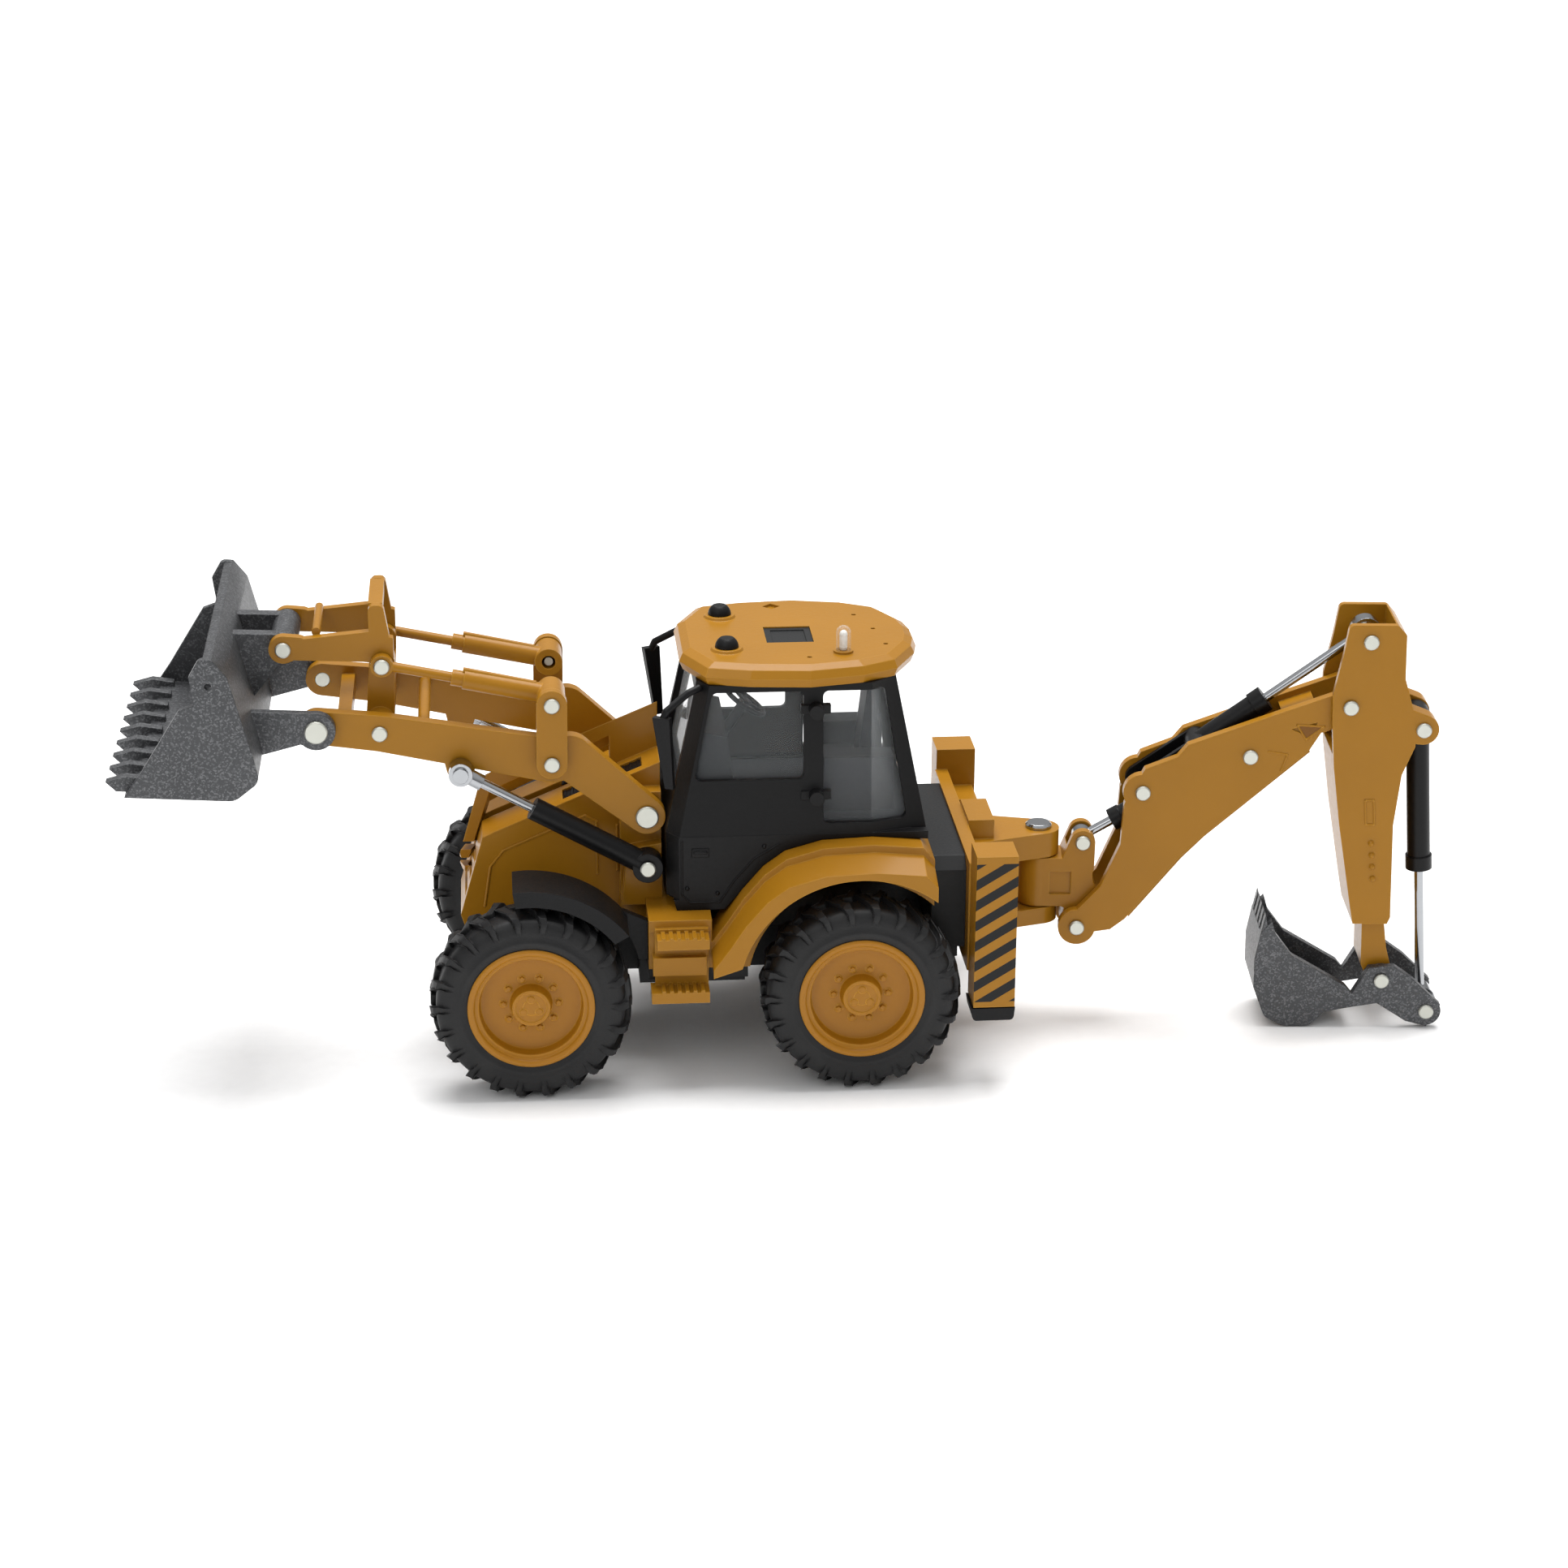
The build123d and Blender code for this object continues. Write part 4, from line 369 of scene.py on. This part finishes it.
def tyre_mesh(name, centre):
    """Carcass, bead ring and both rows of lugs in one mesh."""
    mesh = bmesh.new()
    half = [(12.7, 0), (12.68, 2.4), (12.5, 3.1), (12.1, 3.55), (11.5, 3.8), (10.6, 3.95),
            (9.9, 3.98), (9.7, 4.1), (9.35, 4.15), (9.15, 4.05), (8.95, 4.0), (8.62, 3.85)]
    section = half + [(7.95, 3.75), (7.95, -3.75)] + [(r, -y) for r, y in reversed(half[1:])]
    ring(mesh, section)
    bmesh.ops.recalc_face_normals(mesh, faces=mesh.faces)
    for row, side in enumerate((-1, 1)):
        pattern = lug(side)
        for index in range(LUG_COUNT):
            before = len(mesh.verts)
            mesh.from_mesh(pattern)
            mesh.verts.ensure_lookup_table()
            spin = Matrix.Rotation((index + 0.5 * row) * 2 * math.pi / LUG_COUNT, 4, "Y")
            bmesh.ops.transform(mesh, matrix=spin, verts=mesh.verts[before:])
        bpy.data.meshes.remove(pattern)
    bmesh.ops.translate(mesh, vec=centre, verts=mesh.verts)
    return to_piece(name, mesh)


def rubber_nodes(m):
    """Matt tyre compound: patches of dusty grey bloom, fine pores."""
    where = add(m, "ShaderNodeTexCoord").outputs["Object"]
    pores = add(m, "ShaderNodeTexNoise", {"Vector": where, "Scale": 1 / 0.4e-3, "Detail": 4.0})
    dust = add(m, "ShaderNodeTexNoise", {"Vector": where, "Scale": 1 / 4e-3, "Detail": 5.0})
    amount = add(m, "ShaderNodeMapRange", {"Value": dust.outputs["Fac"], "From Min": 0.4,
                                           "From Max": 0.8, "To Max": 0.5})
    colour = add(m, "ShaderNodeMix", {0: amount.outputs[0], 6: linear("161617"),
                                      7: linear("262625")}, data_type="RGBA")
    soft = add(m, "ShaderNodeBevel", {"Radius": 0.12e-3}, samples=4)
    bump = add(m, "ShaderNodeBump", {"Height": pores.outputs["Fac"], "Strength": 0.5,
                                     "Distance": 0.05e-3, "Normal": soft.outputs[0]})
    return {"Base Color": colour.outputs[2], "Normal": bump.outputs["Normal"]}


tyre_rubber = finish("soft_tyre_pvc", {"Roughness": 0.5, "Specular IOR Level": 0.3}, rubber_nodes)
for axle_name in ("front", "rear"):
    for hand in ("right", "left"):
        node = f"{axle_name}_tyre_{hand}"
        low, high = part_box(node)
        hub_low, hub_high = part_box(f"{axle_name}_axle")
        centre = (hub_low + hub_high) / 2
        centre.y = (low.y + high.y) / 2
        tyre = tyre_mesh(f"{node}_treaded", centre)
        tyre.data.materials.append(tyre_rubber)
        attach(tyre, f"{axle_name}_wheels")
        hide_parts(node)

# --- Rods, kingpin and axles ---------------------------------------------------------------
# Turned steel, chrome plated: nearly mirror bright, with faint marks from the lathe that
# break up the highlight along each rod.


def plated_nodes(tint, low, high, grit=0.25e-3):
    """Plated metal: even tint, roughness that varies with the finest turning marks."""
    def build(m):
        where = add(m, "ShaderNodeTexCoord").outputs["Object"]
        marks = add(m, "ShaderNodeTexNoise", {"Vector": where, "Scale": 1 / grit, "Detail": 3.0})
        film = add(m, "ShaderNodeTexNoise", {"Vector": where, "Scale": 1 / 3e-3, "Detail": 3.0})
        colour = add(m, "ShaderNodeMix", {0: film.outputs["Fac"], 6: tint,
                                          7: [c * 0.88 for c in tint[:3]] + [1]},
                     data_type="RGBA")
        rough = add(m, "ShaderNodeMapRange", {"Value": marks.outputs["Fac"], "To Min": low,
                                              "To Max": high})
        soft = add(m, "ShaderNodeBevel", {"Radius": 0.12e-3}, samples=4)
        return {"Base Color": colour.outputs[2], "Roughness": rough.outputs[0],
                "Normal": soft.outputs[0]}
    return build


chrome = finish("chrome_plate", {"Metallic": 1.0}, plated_nodes(linear("A6A8AB"), 0.08, 0.2))
paint(chrome, "lift_rods", "boom_ram_rod", "dipper_ram_rod", "crowd_ram_rod", "kingpin",
      "front_axle", "rear_axle")

# --- Rivets and screws -----------------------------------------------------------------------
# Steel rivets, tumbled and nickel plated: pale, with a soft sheen. Tumbling dulls them,
# so they are rougher than the rods.
nickel = finish("nickel_plate", {"Metallic": 0.85}, plated_nodes(linear("C4C5BC"), 0.3, 0.46))
paint(nickel, "chassis_screws", "chassis_rivets", "arm_rivets", "rocker_rivets", "lever_rivets",
      "link_rivets", "bucket_rivets", "post_rivets", "boom_rivets", "dipper_rivets", "hoe_rivet")

# --- Glazing -----------------------------------------------------------------------------------
# One clear styrene moulding behind the cab frame, and the clear beacon capsule on the roof: glossy
# and see-through face on, with a white veil painted in as reflection where a wall turns away.


def clear_nodes(m):
    """Clear styrene: nearly invisible face on, with a painted white reflection where it turns away.
    """
    where = add(m, "ShaderNodeTexCoord").outputs["Object"]
    haze = add(m, "ShaderNodeTexNoise", {"Vector": where, "Scale": 1 / 6e-3, "Detail": 2.0})
    rim_light = add(m, "ShaderNodeLayerWeight", {"Blend": 0.35})
    # Painted reflection: a white veil that thickens as the surface turns from the view.
    painted_reflection = add(m, "ShaderNodeMapRange", {"Value": rim_light.outputs["Facing"], "To Min": 0.03,
                                         "To Max": 0.35})
    rough = add(m, "ShaderNodeMapRange", {"Value": haze.outputs["Fac"], "To Min": 0.03,
                                          "To Max": 0.12})
    return {"Alpha": painted_reflection.outputs[0], "Roughness": rough.outputs[0]}


clear = finish("clear_styrene", {"Base Color": linear("E6ECEE"), "Coat Weight": 0.6,
                                 "Coat Roughness": 0.03}, clear_nodes)
paint(clear, "cab_glazing", "beacon_lens")

# --- Cast panels that flow -----------------------------------------------------------------
# The curved castings and mouldings are cut from many short faces: shading them together
# gives the flowing surface of the real pieces, and edges over 30 degrees stay crisp.
for name in ("rear_body", "front_fender_right", "front_fender_left", "loader_bucket",
             "hoe_bucket", "boom", "dipper", "loader_arms", "swing_post"):
    join = nodes[name].modifiers.new("join", "WELD")
    join.merge_threshold = 1e-6
    crisp = nodes[name].modifiers.new("crisp", "EDGE_SPLIT")
    crisp.split_angle = math.radians(30)
    nodes[name].modifiers.new("flow", "WEIGHTED_NORMAL")

# --- Hood trim -------------------------------------------------------------------------------
# Raised beads cast into the hood's sides, and black slatted plates set into its vents: the black is
# painted shade for the vent slots.
low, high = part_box("rear_axle")
rear_axle_middle = (low + high) / 2


def from_axle(x, y, z):
    """A point at these distances in mm from the middle of the rear axle."""
    return rear_axle_middle + Vector((x, y, z)) * 1e-3


def bead(mesh, points, radius):
    """A raised round bead through the points; the radius in mm."""
    for a, b in zip(points, points[1:]):
        along = b - a
        place = (Matrix.Translation((a + b) / 2)
                 @ along.to_track_quat("Z", "Y").to_matrix().to_4x4())
        bmesh.ops.create_cone(mesh, cap_ends=True, segments=14, radius1=radius * 1e-3,
                              radius2=radius * 1e-3, depth=along.length, matrix=place)
    for point in points:
        bmesh.ops.create_uvsphere(mesh, u_segments=14, v_segments=8, radius=radius * 1e-3,
                                  matrix=Matrix.Translation(point))


def plate(mesh, centre, size, turn=0.0, soft=0.1):
    """A small block turned about y, with its edges rounded; sizes in mm."""
    made = bmesh.ops.create_cube(mesh, size=1e-3)
    place = (Matrix.Translation(centre) @ Matrix.Rotation(math.radians(turn), 4, "Y")
             @ Matrix.Diagonal((*size, 1)))
    bmesh.ops.transform(mesh, matrix=place, verts=made["verts"])
    edges = list({e for v in made["verts"] for e in v.link_edges})
    bmesh.ops.bevel(mesh, geom=edges, offset=soft * 1e-3, offset_type="OFFSET", segments=2,
                    profile=0.5, affect="EDGES", material=-1)


hood_lines = bmesh.new()
hood_face = 6.52      # from the centre plane, just proud of the hood's sides
for side in (-1, 1):
    outline = [(-50.3, 7.6), (-49.4, 13.4), (-47.6, 15.7), (-42.8, 17.8), (-36.4, 20.5),
               (-34.8, 19.6), (-34.8, 12.0)]
    seam = [(-32.0, 19.0), (-32.0, 12.4)]
    for line in (outline, seam):
        bead(hood_lines, [from_axle(x, side * hood_face, z) for x, z in line], 0.2)
hood_lines = to_piece("hood_side_beads", hood_lines, ochre)
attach(hood_lines, "chassis")

# Black plates with slats fill the vents: painted shade for the slots.
louvres = bmesh.new()
rake = 22.9           # the hood's slope, degrees
vent_side = 3.2       # from the centre plane to the middle of each vent
for side in (-1, 1):
    for x, z in ((-37.9, 22.62), (-29.9, 26.0)):
        plate(louvres, from_axle(x, side * vent_side, z), (3.0, 3.4, 0.16), -rake, 0.04)
        for slat in (-1.0, 0.0, 1.0):
            rise = slat * math.tan(math.radians(rake))
            place = from_axle(x + slat, side * vent_side, z + 0.14 + rise)
            plate(louvres, place, (0.3, 3.2, 0.2), -rake, 0.05)
louvres = to_piece("hood_vent_shade", louvres, barrel_black)
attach(louvres, "chassis")

# --- Door trim ---------------------------------------------------------------------------------
# The door is moulded with the cab frame: a raised line round its edge, a handle in a shallow
# boss near its front edge, and three small screw heads along its lower edge.
door_trim = bmesh.new()
for side in (-1, 1):
    edge = [(-23.7, 20.0), (-23.7, 12.3), (-22.6, 11.1), (-18.6, 11.1), (-16.7, 14.1),
            (-14.0, 17.2), (-10.6, 19.3)]
    bead(door_trim, [from_axle(x, side * 15.98, z) for x, z in edge], 0.16)
    plate(door_trim, from_axle(-21.2, side * 16.02, 18.3), (2.4, 0.3, 1.3), 0, 0.12)
    plate(door_trim, from_axle(-21.2, side * 16.25, 18.4), (1.8, 0.4, 0.45), 0, 0.15)
    for x, z in ((-23.0, 13.2), (-18.9, 12.4), (-12.6, 19.0)):
        bead(door_trim, [from_axle(x, side * 15.9, z), from_axle(x, side * 16.1, z)], 0.3)
door_trim = to_piece("door_trim", door_trim, barrel_black)
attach(door_trim, "chassis")

# --- Beacon lamp -------------------------------------------------------------------------------
# A white plastic post stands inside the clear beacon, as the lamp does in the real one.
# It is glossier than the body's mouldings.
low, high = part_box("beacon_lens")
lamp = bmesh.new()
foot = Vector(((low.x + high.x) / 2, (low.y + high.y) / 2, low.z + 0.3e-3))
bead(lamp, [foot, foot + Vector((0, 0, 1.9e-3))], 0.55)
white_abs = finish("white_abs", {}, moulded_nodes(linear("E8E6E0"), roughness=0.3))
lamp = to_piece("beacon_lamp", lamp, white_abs)
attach(lamp, "chassis")

# --- Boom and dipper marks ---------------------------------------------------------------------
# Cast into both faces of each arm: a sunk triangle by the boom's tip, and on the dipper a raised
# oblong with four round marks below it. Inside each triangle sits a darker ochre plate, painted
# shade for the recess. The rear digger is parked turned, so these are laid out in its own plane from
# its pivots.
pivot = {j["name"]: Vector(j["pos_m"]) for j in frame["joints"] if "pos_m" in j}
reach = pivot["dipper_crowd"] - pivot["boom_lift"]
behind = Vector((reach.x, reach.y, 0)).normalized()
aside = Vector((-behind.y, behind.x, 0))


def from_boom_foot(distance, out, height):
    """A point in the digger's plane, in mm from the boom's foot pivot."""
    return (pivot["boom_lift"] + behind * distance * 1e-3 + aside * out * 1e-3
            + Vector((0, 0, height * 1e-3)))


triangles = bmesh.new()
boom_shade_plates = bmesh.new()
boom_face, dipper_face = 4.18, 5.4      # out from the digger's plane, mm
for side in (-1, 1):
    corners = [from_boom_foot(s, side * boom_face, z)
               for s, z in ((29.3, 30.3), (33.0, 30.1), (30.6, 28.2), (29.3, 30.3))]
    bead(triangles, corners, 0.16)
    bead(triangles, [from_boom_foot(s, side * boom_face, z)
                     for s, z in ((25.6, 26.4), (28.2, 26.0), (27.4, 23.6))], 0.15)
    # A darker ochre plate fills each triangle: painted shade for the recess.
    verts = [boom_shade_plates.verts.new(c + aside * side * 0.05e-3) for c in corners[:3]]
    face = boom_shade_plates.faces.new(verts)
    made = bmesh.ops.extrude_face_region(boom_shade_plates, geom=[face])
    moved = [v for v in made["geom"] if isinstance(v, bmesh.types.BMVert)]
    bmesh.ops.translate(boom_shade_plates, vec=aside * side * -0.1e-3, verts=moved)
bmesh.ops.recalc_face_normals(boom_shade_plates, faces=boom_shade_plates.faces)
# The darker ochre is painted shade; its paler edge colour is a painted highlight.
shade = finish("ochre_enamel_painted_shade", GLOSS, enamel_nodes(linear("7A4E10"), linear("8E5E18")))
for piece, name in ((triangles, "boom_marks"), (boom_shade_plates, "boom_recess_shade")):
    piece = to_piece(name, piece, ochre if name == "boom_marks" else shade)
    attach(piece, "boom")

dipper_marks = bmesh.new()
for side in (-1, 1):
    oblong = [(39.1, 19.8), (39.4, 16.2), (40.6, 16.2), (40.3, 19.8), (39.1, 19.8)]
    bead(dipper_marks, [from_boom_foot(s, side * dipper_face, z) for s, z in oblong], 0.15)
    for step in range(4):
        middle = from_boom_foot(40.3 + 0.18 * step, side * 5.3, 13.4 - 1.75 * step)
        bead(dipper_marks, [middle, middle + aside * side * 0.15e-3], 0.42)
dipper_marks = to_piece("dipper_marks", dipper_marks, ochre)
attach(dipper_marks, "dipper")

# --- Table, light and camera -------------------------------------------------------------------
# A white paper sweep under two large soft lights; the camera stands a little to the rear.
paper = bmesh.new()
bmesh.ops.create_grid(paper, x_segments=1, y_segments=1, size=3.0)
floor = to_piece("floor", paper)


def paper_nodes(m):
    """White paper with a barely visible tooth."""
    where = add(m, "ShaderNodeTexCoord").outputs["Object"]
    tooth = add(m, "ShaderNodeTexNoise", {"Vector": where, "Scale": 1 / 2e-3, "Detail": 3.0})
    colour = add(m, "ShaderNodeMix", {0: tooth.outputs["Fac"], 6: linear("FAFAFA"),
                                      7: linear("F4F4F4")}, data_type="RGBA")
    return {"Base Color": colour.outputs[2]}


floor.data.materials.append(finish("white_paper", {"Roughness": 0.8}, paper_nodes))

world = bpy.data.worlds.new("studio")
bpy.context.scene.world = world
world.use_nodes = True
sky = world.node_tree.nodes["Background"]
sky.inputs["Color"].default_value = (1, 1, 1, 1)
heading = add(world, "ShaderNodeTexCoord")
height = add(world, "ShaderNodeSeparateXYZ", {"Vector": heading.outputs["Generated"]})
glow = add(world, "ShaderNodeMapRange", {"Value": height.outputs["Z"], "From Min": 0.0,
                                         "From Max": 0.6, "To Min": 0.22, "To Max": 0.75})
world.node_tree.links.new(glow.outputs[0], sky.inputs["Strength"])


def softbox(name, place, aim, size, watts):
    """A square area light that looks at a point."""
    data = bpy.data.lights.new(name, "AREA")
    data.size, data.energy = size, watts
    lamp = bpy.data.objects.new(name, data)
    lamp.location = place
    lamp.rotation_euler = (Vector(aim) - Vector(place)).to_track_quat("-Z", "Y").to_euler()
    bpy.context.scene.collection.objects.link(lamp)


softbox("overhead", (0.02, 0.35, 1.5), (0, 0.1, 0), 1.1, 31.0)
softbox("front", (-0.5, -0.9, 0.8), (0, 0, 0.03), 0.5, 1.6)
bpy.context.scene.view_settings.view_transform = "Standard"

camera_place = (-0.04079, -0.44557, 0.20202)
sweep, tilt, lean = math.radians(5.036), math.radians(20.418), math.radians(0.309)
look = Vector((math.sin(sweep) * math.cos(tilt), math.cos(sweep) * math.cos(tilt),
               -math.sin(tilt)))
right = Vector((math.cos(sweep), -math.sin(sweep), 0))
up = right.cross(look)
right, up = (right * math.cos(lean) + up * math.sin(lean),
             up * math.cos(lean) - right * math.sin(lean))
camera_data = bpy.data.cameras.new("camera")
camera_data.sensor_width, camera_data.lens = 36.0, 79.0
camera_data.clip_start = 0.01
camera = bpy.data.objects.new("camera", camera_data)
turn = Matrix((right, up, -look)).transposed().to_4x4()
camera.matrix_world = Matrix.Translation(camera_place) @ turn
bpy.context.scene.collection.objects.link(camera)
bpy.context.scene.camera = camera
